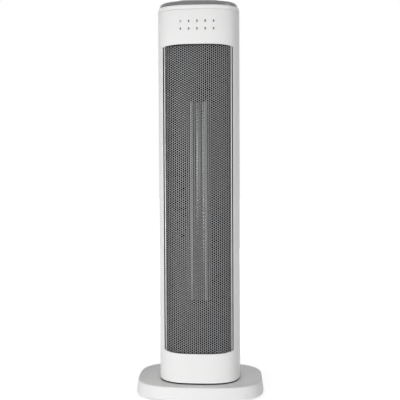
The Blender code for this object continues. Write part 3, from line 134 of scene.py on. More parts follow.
def makeMouldedEffect():
    group, given, result = newGroup(
        "mouldedSurface",
        [("Color", "NodeSocketColor", (0.8, 0.8, 0.8, 1.0)), ("Roughness", "NodeSocketFloat", 0.4),
         ("Grain", "NodeSocketFloat", 0.2), ("Dust", "NodeSocketFloat", 0.03)], effectOutputs)
    place = stretched(group, evenScale)
    fine = noise(group, place, moulded["grainScale"], 2.0)
    broad = noise(group, place, moulded["dustScale"])
    shade = calc(group, "MULTIPLY", spread(group, broad, -1.0, 1.0), given.outputs["Dust"])
    shadeColor(group, given.outputs["Color"], shade, result.inputs["Base Color"])
    wave = spread(group, broad, -moulded["roughnessChange"], moulded["roughnessChange"])
    group.links.new(calc(group, "ADD", given.outputs["Roughness"], wave, True), result.inputs["Roughness"])
    group.links.new(calc(group, "MULTIPLY", fine, given.outputs["Grain"]), result.inputs["Bump Height"])
    return group


def makeMetalEffect():
    group, given, result = newGroup(
        "drawnMetal",
        [("Color", "NodeSocketColor", (0.6, 0.6, 0.6, 1.0)), ("Roughness", "NodeSocketFloat", 0.35),
         ("Streaks", "NodeSocketFloat", 0.1)], effectOutputs)
    lines = noise(group, stretched(group, drawn["lineScale"]), 1.0)
    spots = noise(group, stretched(group, evenScale), drawn["spotScale"])
    lineChange = spread(group, lines, -drawn["lineShare"], drawn["lineShare"])
    spotChange = spread(group, spots, -drawn["spotShare"], drawn["spotShare"])
    both = calc(group, "ADD", lineChange, spotChange)
    change = calc(group, "MULTIPLY", both, given.outputs["Streaks"])
    shadeColor(group, given.outputs["Color"], change, result.inputs["Base Color"])
    group.links.new(calc(group, "ADD", given.outputs["Roughness"], change, True), result.inputs["Roughness"])
    group.links.new(calc(group, "MULTIPLY", lines, given.outputs["Streaks"]), result.inputs["Bump Height"])
    return group


mouldedEffect = makeMouldedEffect()
metalEffect = makeMetalEffect()
reliefStrength = 0.1
reliefDepth = 0.05 * mm


def finishMaterial(name, effect, settings, metallic=0.0, coat=0.0, coatRoughness=0.1, specular=0.5):
    material = bpy.data.materials.new(name)
    material.use_nodes = True
    tree = material.node_tree
    shader = tree.nodes["Principled BSDF"]
    surface = addNode(tree, "ShaderNodeGroup", node_tree=effect)
    for label, value in settings.items():
        surface.inputs[label].default_value = value
    tree.links.new(surface.outputs["Base Color"], shader.inputs["Base Color"])
    tree.links.new(surface.outputs["Roughness"], shader.inputs["Roughness"])
    relief = addNode(tree, "ShaderNodeBump")
    relief.inputs["Strength"].default_value = reliefStrength
    relief.inputs["Distance"].default_value = reliefDepth
    tree.links.new(surface.outputs["Bump Height"], relief.inputs["Height"])
    tree.links.new(relief.outputs["Normal"], shader.inputs["Normal"])
    shader.inputs["Metallic"].default_value = metallic
    shader.inputs["Coat Weight"].default_value = coat
    shader.inputs["Coat Roughness"].default_value = coatRoughness
    shader.inputs["Specular IOR Level"].default_value = specular
    return material


def grey(level, warm=0.0):
    return (level * (1 + warm), level, level * (1 - warm), 1.0)


def plastic(name, color, roughness, grain=0.3, dust=0.02, **more):
    given = {"Color": color, "Roughness": roughness, "Grain": grain, "Dust": dust}
    return finishMaterial(name, mouldedEffect, given, **more)


def metal(name, color, roughness, streaks=0.08, **more):
    given = {"Color": color, "Roughness": roughness, "Streaks": streaks}
    return finishMaterial(name, metalEffect, given, metallic=1.0, **more)


whitePlastic = plastic("whitePlastic", grey(0.84, 0.004), 0.45, 0.25, 0.008, specular=0.25)
baseWhite = plastic("baseWhite", grey(0.84, 0.004), 0.5, 0.25, 0.008, specular=0.25)
trimGloss = plastic("trimGloss", grey(0.14), 0.22, 0.05, 0.05, coat=1.0, coatRoughness=0.06)
greyPlastic = plastic("greyPlastic", grey(0.55, -0.004), 0.38, 0.3, 0.02)
keyPlastic = plastic("keyPlastic", grey(0.78, -0.004), 0.34, 0.2, 0.015)
markInk = plastic("markInk", grey(0.05), 0.5, 0.1, 0.03)
blackPlastic = plastic("blackPlastic", grey(0.02), 0.5, 0.5, 0.06)
# This near-black material is painted shade: inside the housing, in the gap under the tower and round the
# grille.
shadeBlack = plastic("shadeBlack", grey(0.004), 0.7, 0.5, 0.08, specular=0.05)
naturalPlastic = plastic("naturalPlastic", (0.72, 0.7, 0.62, 1.0), 0.42, 0.3, 0.03)
smokedPlastic = plastic("smokedPlastic", grey(0.16, -0.01), 0.3, 0.1, 0.03)
palePlastic = plastic("palePlastic", grey(0.5, -0.01), 0.3, 0.1, 0.03)
rubberBlack = plastic("rubberBlack", grey(0.025), 0.85, 0.8, 0.08)
boardGreen = plastic("boardGreen", (0.03, 0.16, 0.07, 1.0), 0.4, 0.4, 0.12)
grilleSilver = metal("grilleSilver", grey(0.285, -0.012), 0.42, 0.05)
# Much darker metal for the hole walls: painted shade inside the grille's holes.
holeShadeMetal = metal("holeShadeMetal", grey(0.06, -0.004), 0.5, 0.05)
# The element's tubes and fins are far darker than bare metal: painted shade inside the housing.
elementShadeMetal = metal("elementShadeMetal", grey(0.11), 0.5, 0.1)
finShadeMetal = metal("finShadeMetal", grey(0.03), 0.5, 0.1)
# Much lighter metal for the grille's margins: painted highlight along the sheet's edges.
grilleEdgeHighlight = metal("grilleEdgeHighlight", grey(0.7, -0.004), 0.45, 0.04)
aluminiumBare = metal("aluminiumBare", grey(0.72, -0.003), 0.34, 0.08)
steelPlated = metal("steelPlated", grey(0.4, 0.004), 0.35, 0.08)

slotMaterials = {
    "white_plastic": whitePlastic, "black_gloss": trimGloss, "grey_plastic": greyPlastic,
    "black_plastic": blackPlastic, "grille_metal": grilleSilver, "aluminium": aluminiumBare,
    "steel": steelPlated, "natural_plastic": naturalPlastic, "light_plastic": smokedPlastic,
    "board_green": boardGreen, "rubber": rubberBlack,
}
for part in frame["record"]["subparts"]:
    target = nodes[part["node"]]
    target.data.materials.clear()
    target.data.materials.append(slotMaterials[part["material_slot"]])
# Pieces behind the grille, in a near-black darker than their slot's material: painted shade inside the
# housing
shadedInsideNodes = (
    "heater_panel", "scroll_panel", "cutoff_panel", "thermal_cutout", "heater_bracket_lower",
    "heater_bracket_upper",
)
for name in shadedInsideNodes:
    nodes[name].data.materials[0] = shadeBlack
# The element tubes get the darkened metal as painted shade behind the grille.
for name in ("element_tube_left", "element_tube_right"):
    nodes[name].data.materials[0] = elementShadeMetal
print("materials ready")


# Shape tools

pieces = bpy.data.collections.new("pieces")
bpy.context.scene.collection.children.link(pieces)
sharpAngle = 35
axisRadius = 0.0001 * mm


def evenAngles(steps):
    return [2 * math.pi * i / steps for i in range(steps)]


def circle2(radius, steps, middleA=0.0, middleB=0.0):
    return [(middleA + radius * math.cos(t), middleB + radius * math.sin(t)) for t in evenAngles(steps)]


def meshObject(name, shape, material, smoothAngle=sharpAngle):
    mesh = bpy.data.meshes.new(name)
    bmesh.ops.recalc_face_normals(shape, faces=shape.faces)
    shape.to_mesh(mesh)
    shape.free()
    obj = bpy.data.objects.new(name, mesh)
    pieces.objects.link(obj)
    mesh.materials.append(material)
    mesh.shade_smooth()
    mesh.set_sharp_from_angle(angle=math.radians(smoothAngle))
    return obj


def filleted(corners, radii, steps):
    # The same outline with round corners.
    points = []
    count = len(corners)
    for i, corner in enumerate(corners):
        radius = radii[i] if isinstance(radii, (list, tuple)) else radii
        here = Vector(corner)
        if radius <= 0:
            points.append(tuple(here))
            continue
        before = (Vector(corners[i - 1]) - here).normalized()
        after = (Vector(corners[(i + 1) % count]) - here).normalized()
        half = before.angle(after) / 2
        reach = radius / math.tan(half)
        center = here + (before + after).normalized() * radius / math.sin(half)
        start = here + before * reach - center
        end = here + after * reach - center
        turn = start.angle_signed(end)
        for step in range(steps + 1):
            angle = -turn * step / steps
            c, s = math.cos(angle), math.sin(angle)
            points.append((center.x + start.x * c - start.y * s, center.y + start.x * s + start.y * c))
    return points


def box2(halfA, halfB, middleA=0.0, middleB=0.0):
    return [(middleA - halfA, middleB - halfB), (middleA + halfA, middleB - halfB),
            (middleA + halfA, middleB + halfB), (middleA - halfA, middleB + halfB)]


def prism(shape, outline, place):
    # Adds a closed prism; place(a, b, end) gives the corner of each end.
    low = [shape.verts.new(place(a, b, 0)) for a, b in outline]
    high = [shape.verts.new(place(a, b, 1)) for a, b in outline]
    count = len(outline)
    shape.faces.new(low[::-1])
    shape.faces.new(high)
    for i in range(count):
        j = (i + 1) % count
        shape.faces.new((low[i], low[j], high[j], high[i]))


def upright(low, high):
    return lambda a, b, end: (a, b, high if end else low)


def alongY(front, back):
    return lambda a, b, end: (a, back if end else front, b)


def loft(name, rings, material, around=True, closed=True):
    # Rings of equally many points. Around: each ring is a loop. Closed: the last ring meets the first.
    shape = bmesh.new()
    grid = [[shape.verts.new(p) for p in ring] for ring in rings]
    count = len(rings[0])
    spans = len(rings) if closed else len(rings) - 1
    steps = count if around else count - 1
    for r in range(spans):
        here, there = grid[r], grid[(r + 1) % len(rings)]
        for i in range(steps):
            j = (i + 1) % count
            shape.faces.new((here[i], here[j], there[j], there[i]))
    if not around:
        shape.faces.new([ring[0] for ring in grid])
        shape.faces.new([ring[-1] for ring in grid])
    elif not closed:
        shape.faces.new(grid[0])
        shape.faces.new(grid[-1])
    return meshObject(name, shape, material)


def lathe(name, profile, material, steps):
    # A profile of (radius, height) turned about Z.
    rings = []
    for radius, height in profile:
        rings.append([(x, y, height) for x, y in circle2(max(radius, axisRadius), steps)])
    return loft(name, rings, material, closed=False)


def bake(obj):
    # Applies the modifiers and keeps the sharp edges.
    graph = bpy.context.evaluated_depsgraph_get()
    mesh = bpy.data.meshes.new_from_object(obj.evaluated_get(graph))
    old = obj.data
    obj.modifiers.clear()
    obj.data = mesh
    bpy.data.meshes.remove(old)
    mesh.shade_smooth()
    mesh.set_sharp_from_angle(angle=math.radians(sharpAngle))


def combine(obj, name, outlines, place, material, operation):
    # Joins prisms to the object, or cuts them out of it.
    shape = bmesh.new()
    for outline in outlines:
        prism(shape, outline, place)
    other = meshObject(name, shape, material)
    modifier = obj.modifiers.new(name, "BOOLEAN")
    modifier.operation = operation
    modifier.solver = "EXACT"
    modifier.object = other
    bake(obj)
    bpy.data.objects.remove(other)
    return obj


def cut(obj, name, outlines, place):
    return combine(obj, name, outlines, place, markInk, "DIFFERENCE")


# The oval outlines

roundSteps = 160
arcSteps = 120
measureSteps = 6000
leastLength = 1e-12


def ovalPoint(halfX, halfY, power, t):
    c, s = math.cos(t), math.sin(t)
    return (halfX * math.copysign(abs(c) ** (2 / power), c), halfY * math.copysign(abs(s) ** (2 / power), s))


def evenTurns(halfX, halfY, power, start, end, steps):
    # Turns whose points lie about equally far apart along the outline.
    turns = [start + (end - start) * i / measureSteps for i in range(measureSteps + 1)]
    points = [ovalPoint(halfX, halfY, power, t) for t in turns]
    lengths = [0.0]
    for a, b in zip(points, points[1:]):
        lengths.append(lengths[-1] + math.dist(a, b))
    result = []
    k = 0
    for step in range(steps + 1):
        wanted = lengths[-1] * step / steps
        while k < measureSteps - 1 and lengths[k + 1] < wanted:
            k += 1
        share = (wanted - lengths[k]) / max(lengths[k + 1] - lengths[k], leastLength)
        result.append(turns[k] + (turns[k + 1] - turns[k]) * share)
    return result, lengths[-1]


def ovalTurns(size, steps=roundSteps):
    return evenTurns(size["halfX"], size["halfY"], size["power"], 0, 2 * math.pi, steps)[0][:-1]


def ovalRings(size, profile, steps=roundSteps):
    # Full loops of the oval, one for each (inset, height) of the profile.
    turns = ovalTurns(size, steps)
    rings = []
    for inset, height in profile:
        points = [ovalPoint(size["halfX"] - inset, size["halfY"] - inset, size["power"], t) for t in turns]
        rings.append([(x, y, height) for x, y in points])
    return rings


def sideTurn(size, inset, y):
    return math.copysign(math.asin((abs(y) / (size["halfY"] - inset)) ** (size["power"] / 2)), y)


def arcRings(size, profile, y, front):
    # Arcs of the oval in front of, or behind, the line at y.
    def ends(inset):
        side = sideTurn(size, inset, y)
        return (side, -math.pi - side) if front else (side, math.pi - side)
    start, end = ends(0)
    turns = evenTurns(size["halfX"], size["halfY"], size["power"], start, end, arcSteps)[0]
    shares = [(t - start) / (end - start) for t in turns]
    rings = []
    for inset, height in profile:
        low, high = ends(inset)
        halfX, halfY = size["halfX"] - inset, size["halfY"] - inset
        points = [ovalPoint(halfX, halfY, size["power"], low + (high - low) * s) for s in shares]
        rings.append([(a, b, height) for a, b in points])
    return rings


def ovalY(size, inset, x):
    share = abs(x) / (size["halfX"] - inset)
    return (size["halfY"] - inset) * (1 - share ** size["power"]) ** (1 / size["power"])


# Tower shells

body = {
    "halfX": 76 * mm, "halfY": 61 * mm, "power": 2.9,
    "bottom": 28 * mm, "top": 708 * mm, "wall": 2.5 * mm,
    "split": 8 * mm, "gap": 0.3 * mm, "edge": 0.6 * mm,
}
# "cut" in a dictionary: the two y values between which its holes are cut.
opening = {
    "half": 64 * mm, "bottom": 82 * mm, "top": 646 * mm, "arch": 3.3 * mm, "power": 5, "steps": 24,
    "cut": (-80 * mm, -36 * mm),
}
marks = {
    "columns": 5, "rows": 2, "pitchX": 15 * mm, "pitchZ": 13.5 * mm, "top": 687 * mm,
    "width": 2.8 * mm, "height": 4.4 * mm, "corner": 0.5 * mm, "cut": (-80 * mm, -50 * mm),
    "pin": (1.15 * mm, 1.95 * mm), "pinInset": 0.2 * mm, "pinRoot": 1 * mm,
    "pinCorner": 0.4 * mm, "powerCorner": 1.1 * mm, "plate": 2 * mm, "plateCorner": 2 * mm,
}
intake = {
    "columns": 3, "pitchX": 31 * mm, "width": 26 * mm, "height": 3.4 * mm, "cornerShare": 0.49,
    "rows": 50, "bottom": 170 * mm, "top": 566 * mm, "cut": (40 * mm, 80 * mm),
}
rearHoles = {
    "grip": {"half": 45.3 * mm, "halfZ": 15.3 * mm, "middle": 672 * mm},
    "switch": {"half": 8.45 * mm, "halfZ": 12.53 * mm, "middle": 73 * mm},
    "screws": {"x": 22 * mm, "heights": (140 * mm, 580 * mm), "radius": 2.3 * mm, "steps": 20},
    "cut": (32 * mm, 80 * mm),
}


def shellProfile():
    # The wall's section: outside up, round both outer edges, inside down.
    low, high, wall, edge = body["bottom"], body["top"], body["wall"], body["edge"]
    return filleted([(0, low), (0, high), (wall, high), (wall, low)], [edge, edge, edge / 2, edge / 2], 4)


def openingLoop():
    # The grille opening; its ends bow out a little between the corners.
    lower, upper = [], []
    for step in range(opening["steps"] + 1):
        share = 2 * step / opening["steps"] - 1
        bow = opening["arch"] * abs(share) ** opening["power"]
        lower.append((share * opening["half"], opening["bottom"] + bow))
        upper.append((share * opening["half"], opening["top"] - bow))
    return lower + upper[::-1]


def markPlaces():
    places = []
    for row in range(marks["rows"]):
        for column in range(marks["columns"]):
            x = marks["pitchX"] * (column - (marks["columns"] - 1) / 2)
            places.append((x, marks["top"] - marks["pitchZ"] * row))
    return places


def makeFrontShell():
    rings = arcRings(body, shellProfile(), body["split"], True)
    obj = loft("frontShell", rings, whitePlastic, around=False)
    cut(obj, "grilleOpening", [openingLoop()], alongY(*opening["cut"]))
    half, halfZ = marks["width"] / 2, marks["height"] / 2
    windows = [filleted(box2(half, halfZ, x, z), marks["corner"], 3) for x, z in markPlaces()]
    cut(obj, "markWindows", windows, alongY(*marks["cut"]))
    return obj


def makePins(name, places, corner, material):
    # Light guide pins, each ending just inside the oval wall.
    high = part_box("light_guide")[1]
    half, halfZ = marks["pin"]
    shape = bmesh.new()
    for x, z in places:
        front = -ovalY(body, marks["pinInset"], abs(x) + half)
        prism(shape, filleted(box2(half, halfZ, x, z), corner, 4), alongY(front, high[1] - marks["pinRoot"]))
    obj = meshObject(name, shape, material)
    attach(obj, "tower")


def makeGuidePlate():
    # The plate behind the wall that carries the pins.
    low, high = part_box("light_guide")
    shape = bmesh.new()
    corners = [(low[0], low[2]), (high[0], low[2]), (high[0], high[2]), (low[0], high[2])]
    prism(shape, filleted(corners, marks["plateCorner"], 4), alongY(high[1] - marks["plate"], high[1]))
    obj = meshObject("guidePlate", shape, smokedPlastic)
    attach(obj, "tower")
    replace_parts(obj, "light_guide")


def makeRearShell():
    rings = arcRings(body, shellProfile(), body["split"] + body["gap"], False)
    obj = loft("rearShell", rings, whitePlastic, around=False)
    slots = []
    pitch = (intake["top"] - intake["bottom"]) / intake["rows"]
    half, halfZ, corner = intake["width"] / 2, intake["height"] / 2, intake["height"] * intake["cornerShare"]
    for row in range(intake["rows"]):
        z = intake["bottom"] + pitch * (row + 0.5)
        for column in range(intake["columns"]):
            x = intake["pitchX"] * (column - (intake["columns"] - 1) / 2)
            slots.append(filleted(box2(half, halfZ, x, z), corner, 4))
    cut(obj, "intakeSlots", slots, alongY(*intake["cut"]))
    holes = []
    for hole in (rearHoles["grip"], rearHoles["switch"]):
        holes.append(box2(hole["half"], hole["halfZ"], 0, hole["middle"]))
    screws = rearHoles["screws"]
    for z in screws["heights"]:
        for x in (-screws["x"], screws["x"]):
            holes.append(circle2(screws["radius"], screws["steps"], x, z))
    cut(obj, "rearHoles", holes, alongY(*rearHoles["cut"]))
    return obj


frontShell = makeFrontShell()
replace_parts(frontShell, "front_housing")
places = markPlaces()
makePins("indicatorPins", places[1:], marks["pinCorner"], smokedPlastic)
makePins("powerPin", places[:1], marks["powerCorner"], palePlastic)
makeGuidePlate()
rearShell = makeRearShell()
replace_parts(rearShell, "rear_housing")
print("tower shells ready")


# Top: white cap, glossy trim, control console and its buttons

cap = {
    "bottom": 708.3 * mm, "top": 716.5 * mm, "edge": 0.3 * mm, "round": 2.3 * mm,
    "wall": 2.5 * mm, "ceiling": 5 * mm, "reach": 30 * mm, "lip": (2.8 * mm, 4.8 * mm), "lipDepth": 5 * mm,
}
trim = {
    "inset": 2.6 * mm, "bottom": 716.8 * mm, "top": 724.4 * mm, "edge": 0.3 * mm, "round": 4.5 * mm,
    "reach": 12 * mm, "gap": 0.3 * mm,
}
console = {
    "halfX": 46 * mm, "halfY": 44 * mm, "power": 3.2, "bottom": 716.8 * mm, "top": 729 * mm,
    "wall": 2.4 * mm, "edge": 0.3 * mm, "round": 2.2 * mm, "reach": 28 * mm, "middle": 27 * mm, "steps": 120,
}
keys = {
    "count": 5, "pitch": 16 * mm, "radius": 5.5 * mm, "top": 729.9 * mm, "dish": 0.5 * mm, "edge": 0.7 * mm,
    "foot": 719.9 * mm, "stem": 2.4 * mm, "flange": 6.7 * mm, "flangeHeight": 1.2 * mm, "gap": 0.3 * mm,
    "cutBelow": 6 * mm, "cutAbove": 3 * mm, "steps": 40, "iconBelow": (0.6 * mm, 0.15 * mm),
}


def makeCap():
    low, high, wall, reach = (cap[k] for k in ("bottom", "top", "wall", "reach"))
    ceiling, foot = low + cap["ceiling"], low - cap["lipDepth"]
    near, far = cap["lip"]
    outer = filleted([(reach, ceiling), (wall, ceiling), (wall, low), (0, low), (0, high), (reach, high)],
                     [0, 0, 0, cap["edge"], cap["round"], 0], 6)
    lip = [(far, ceiling), (far, foot), (near, foot), (near, ceiling)]
    return loft("capRing", ovalRings(body, [outer[0]] + lip + outer[1:]), whitePlastic)


def makeTrim():
    inset, low, high, gap = (trim[k] for k in ("inset", "bottom", "top", "gap"))
    corners = [(inset, low), (inset, high), (inset + trim["reach"], high)]
    rings = ovalRings(body, filleted(corners, [trim["edge"], trim["round"], 0], 10))
    halfX, halfY = console["halfX"] + gap, console["halfY"] + gap
    inner = [ovalPoint(halfX, halfY, console["power"], t) for t in ovalTurns(body)]
    for height in (high, low):
        rings.append([(x, y, height) for x, y in inner])
    return loft("glossTrim", rings, trimGloss)


def keyPlaces():
    return [keys["pitch"] * (i - (keys["count"] - 1) / 2) for i in range(keys["count"])]


def makeConsole():
    low, high, wall, reach = (console[k] for k in ("bottom", "top", "wall", "reach"))
    under = high - wall
    profile = filleted([(wall, low), (0, low), (0, high), (reach, high), (reach, under), (wall, under)],
                       [0, console["edge"], console["round"], 0, 0, 0], 8)
    obj = loft("consoleShell", ovalRings(console, profile, console["steps"]), greyPlastic)
    ring = ovalRings(console, [(console["middle"], 0)], console["steps"])[0]
    combine(obj, "filler", [[(x, y) for x, y, z in ring]], upright(under, high), greyPlastic, "UNION")
    holes = [circle2(keys["radius"] + keys["gap"], keys["steps"], x) for x in keyPlaces()]
    return cut(obj, "keyHoles", holes, upright(high - keys["cutBelow"], high + keys["cutAbove"]))


# The keys' symbols in millimetres. Arcs: radius, start and end angle, steps. Waves: place. Arrowheads:
# corners. Bars: half width, half height, place.
symbols = {
    "power": {"arcs": [(2.2, 125, 415, 24)], "bars": [(0.25, 1.2, 0, 2.0)]},
    "heat": {"waves": [-1.8, 0, 1.8]},
    "swing": {
        "arcs": [(2.4, 30, 150, 14)],
        "heads": [[(2.6, 0.2), (1.2, 1.0), (2.7, 1.9)], [(-2.6, 0.2), (-2.7, 1.9), (-1.2, 1.0)]],
        "bars": [(0.25, 1.1, 0, -0.9)],
    },
    "timer": {
        "arcs": [(2.3, 0, 180, 14), (2.3, 180, 360, 14)],
        "bars": [(0.22, 0.8, 0, 0.6), (0.6, 0.22, 0.55, -0.1)],
    },
    "plus": {"bars": [(2.2, 0.25, 0, 0), (0.25, 0.95, 0, 1.25), (0.25, 0.95, 0, -1.25)]},
}
stroke = {"width": 0.5, "waveHalf": 2.2, "waveSway": 0.5, "waveTurn": 6.28, "waveSteps": 10}


def arcOutline(radius, start, end, steps):
    turns = [math.radians(start + (end - start) * i / steps) for i in range(steps + 1)]
    far, near = radius + stroke["width"] / 2, radius - stroke["width"] / 2
    outer = [(far * math.cos(t), far * math.sin(t)) for t in turns]
    inner = [(near * math.cos(t), near * math.sin(t)) for t in turns]
    return outer + inner[::-1]


def waveOutline(x):
    half, turn, steps = stroke["waveHalf"], stroke["waveTurn"], stroke["waveSteps"]
    left = []
    for k in range(steps + 1):
        t = k * turn / steps
        left.append((x - stroke["width"] / 2 + stroke["waveSway"] * math.sin(t), -half + 2 * half * t / turn))
    return left + [(a + stroke["width"], b) for a, b in left[::-1]]


def symbolOutlines(kind):
    drawing = symbols[kind]
    outlines = [arcOutline(*arc) for arc in drawing.get("arcs", [])]
    outlines += [waveOutline(x) for x in drawing.get("waves", [])]
    outlines += drawing.get("heads", [])
    return outlines + [box2(*bar) for bar in drawing.get("bars", [])]


def makeKeys():
    radius, top, foot, stem, flange = (keys[k] for k in ("radius", "top", "foot", "stem", "flange"))
    ledge = console["top"] - console["wall"] - keys["gap"]
    step = ledge - keys["flangeHeight"]
    profile = filleted([(0, foot), (stem, foot), (stem, step), (flange, step),
                        (flange, ledge), (radius, ledge), (radius, top), (0, top - keys["dish"])],
                       [0, 0, 0, 0, 0, 0, keys["edge"], 0], 6)
    deep, shallow = keys["iconBelow"]
    for number, (x, kind) in enumerate(zip(keyPlaces(), symbols), 1):
        key = lathe(f"key{number}", profile, keyPlastic, keys["steps"])
        key.location.x = x
        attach(key, f"key_{number}")
        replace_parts(key, f"button_{number}")
        shape = bmesh.new()
        for outline in symbolOutlines(kind):
            prism(shape, [(a * mm, b * mm) for a, b in outline], upright(top - deep, top - shallow))
        icon = meshObject(f"icon{number}", shape, markInk)
        icon.location.x = x
        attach(icon, f"key_{number}")


capRing = makeCap()
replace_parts(capRing, "top_cap")
glossTrim = makeTrim()
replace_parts(glossTrim, "top_trim")
consoleShell = makeConsole()
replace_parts(consoleShell, "control_console")
for made, slotName in (
        (frontShell, "white_plastic"), (rearShell, "white_plastic"), (capRing, "white_plastic"),
        (glossTrim, "black_gloss"), (consoleShell, "grey_plastic")):
    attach(made, "tower")
makeKeys()
print("top ready")


# Base

base = {
    "halfX": 120 * mm, "halfY": 80 * mm, "power": 3.2, "bottom": 3 * mm, "top": 25.5 * mm, "draft": 3 * mm,
    "edge": 0.5 * mm, "round": 2.6 * mm, "wall": 2.5 * mm, "reach": 60 * mm, "hole": 14.3 * mm,
}
gland = {"radius": 6.3 * mm, "height": 14.35 * mm, "steps": 24, "cut": (60 * mm, 90 * mm)}


def makeBase():
    low, high, draft, wall, hole = (base[k] for k in ("bottom", "top", "draft", "wall", "hole"))
    profile = filleted([(wall, low), (0, low), (draft, high), (base["reach"], high)],
                       [0, base["edge"], base["round"], 0], 10)
    rings = ovalRings(base, profile)
    circle = []
    for t in ovalTurns(base):
        x, y = ovalPoint(base["halfX"], base["halfY"], base["power"], t)
        length = math.hypot(x, y)
        circle.append((hole * x / length, hole * y / length))
    ceiling = high - wall
    rings.append([(x, y, high) for x, y in circle])
    rings.append([(x, y, ceiling) for x, y in circle])
    inner = draft * (ceiling - low) / (high - low) + wall
    rings += ovalRings(base, [(inner, ceiling)])
    obj = loft("baseCover", rings, baseWhite)
    outlet = circle2(gland["radius"], gland["steps"], 0.0, gland["height"])
    return cut(obj, "glandHole", [outlet], alongY(*gland["cut"]))


skirt = {"inset": 0.6 * mm, "wall": 4 * mm, "bottom": 25.8 * mm, "top": 27.9 * mm, "edge": 0.2 * mm}


def makeSkirt():
    # Near-black rim under the tower, seen in the gap above the base; it blocks light there, and its
    # near-black colour is painted shade in the gap.
    low, high = skirt["bottom"], skirt["top"]
    near, far = skirt["inset"], skirt["inset"] + skirt["wall"]
    profile = filleted([(near, low), (near, high), (far, high), (far, low)], skirt["edge"], 3)
    return loft("towerSkirt", ovalRings(body, profile), shadeBlack)


towerSkirt = makeSkirt()
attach(towerSkirt, "tower")
baseCover = makeBase()
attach(baseCover, "base")
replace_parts(baseCover, "base_cover")
print("base ready")


# Perforated grille, bent round the front

grille = {
    "inset": 2.8 * mm, "setBack": 0.5 * mm, "halfX": 62.3 * mm, "thickness": 0.6 * mm, "smooth": 60,
    "bottom": 77 * mm, "top": 650 * mm, "border": 2.4 * mm, "ends": 3 * mm,
    "pitch": 4.3 * mm, "hole": 1.9 * mm, "holeSides": 12, "merge": 0.02 * mm, "bendSteps": 400,
}
margins = {"width": 2.3 * mm, "steps": 8, "crown": 0.35 * mm, "proud": -0.05 * mm, "depth": 1.2 * mm}


def sheetBend():
    # Turns a distance across the sheet into a place on the oval and its outward normal.
    halfX, halfY = body["halfX"] - grille["inset"], body["halfY"] - grille["inset"]
    side = math.acos((grille["halfX"] / halfX) ** (body["power"] / 2))
    steps = grille["bendSteps"]
    turns, length = evenTurns(halfX, halfY, body["power"], -math.pi + side, -side, steps)
    points = [Vector(ovalPoint(halfX, halfY, body["power"], t)) for t in turns]

    def at(u):
        position = min(max((u / length + 0.5) * steps, 0.0), steps - 0.001)
        i = int(position)
        point = points[i].lerp(points[i + 1], position - i)
        along = points[min(i + 2, steps)] - points[max(i - 1, 0)]
        return point, Vector((along.y, -along.x)).normalized()
    return at, length


def polygon(radius, sides):
    turns = [math.radians(360 / sides * k) for k in range(sides)]
    return [(radius * math.cos(t), radius * math.sin(t)) for t in turns]


def makeGrille():
    # Hexagons with a round hole each, in columns offset by half a pitch; neighbours share their corners.
    at, length = sheetBend()
    pitch, merge, sides = grille["pitch"], grille["merge"], grille["holeSides"]
    spacing = pitch * math.cos(math.radians(30))
    reach = length / 2 - grille["border"]
    columns = int(reach / spacing)
    low, high = grille["bottom"] + grille["ends"], grille["top"] - grille["ends"]
    rows = int((high - low) / pitch)
    hexagon = polygon(pitch / math.sqrt(3), 6)
    hole = polygon(grille["hole"], sides)
    shape = bmesh.new()
    shared = {}

    def corner(u, z):
        key = (round(u / merge), round(z / merge))
        for du in (-1, 0, 1):
            for dz in (-1, 0, 1):
                if (key[0] + du, key[1] + dz) in shared:
                    return shared[(key[0] + du, key[1] + dz)]
        shared[key] = shape.verts.new((u, 0, z))
        return shared[key]
    for column in range(-columns, columns + 1):
        u = column * spacing
        for row in range(rows):
            z = low + pitch * (row + 0.5 + (0.5 if column % 2 else 0.0))
            outer = [corner(u + a, z + b) for a, b in hexagon]
            inner = [shape.verts.new((u + a, 0, z + b)) for a, b in hole]
            for k in range(6):
                shape.faces.new((outer[k], outer[(k + 1) % 6],
                                 inner[(2 * k + 2) % sides], inner[2 * k + 1], inner[2 * k]))
    for vertex in shape.verts:
        point = at(vertex.co.x)[0]
        vertex.co = (point.x, point.y, vertex.co.z)
    sheet = meshObject("grilleSheet", shape, grilleSilver, grille["smooth"])
    for vertex in sheet.data.vertices:
        vertex.co.y += grille["setBack"]
    solid = sheet.modifiers.new("thickness", "SOLIDIFY")
    solid.thickness = grille["thickness"]
    solid.offset = 0
    # The hole walls take the darker metal: painted shade in the holes.
    solid.material_offset_rim = 1
    sheet.data.materials.append(holeShadeMetal)
    return sheet


def makeGrilleRim():
    # Plain margins of the sheet at both sides. Their metal is much lighter than the sheet's: a painted
    # highlight along the edges, beside the real reflection off their crown.
    at, length = sheetBend()
    width, steps = margins["width"], margins["steps"]
    shape = bmesh.new()
    for side in (-1, 1):
        outer, inner = [], []
        for step in range(steps + 1):
            point, normal = at(side * (length / 2 - width * step / steps))
            crown = margins["crown"] * math.sin(math.pi * step / steps)
            outer.append(tuple(point + normal * (crown + margins["proud"])))
            inner.append(tuple(point - normal * margins["depth"]))
        outline = outer + inner[::-1]
        prism(shape, outline if side > 0 else outline[::-1], upright(grille["bottom"], grille["top"]))
    return meshObject("grilleMargins", shape, grilleEdgeHighlight)


grilleSheet = makeGrille()
grilleMargins = makeGrilleRim()
for made in (grilleSheet, grilleMargins):
    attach(made, "tower")
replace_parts(grilleSheet, "front_grille")
print("grille ready:", len(grilleSheet.data.polygons), "faces")


# Near-black inner frame between the grille and the heater panel; its colour is painted shade round the
# grille's edges and ends

innerFrame = {
    "inset": 3.9 * mm, "thick": 0.8 * mm, "back": -24.3 * mm, "ends": (75.8 * mm, 651.2 * mm),
    "sideFrom": 63.4 * mm,
}


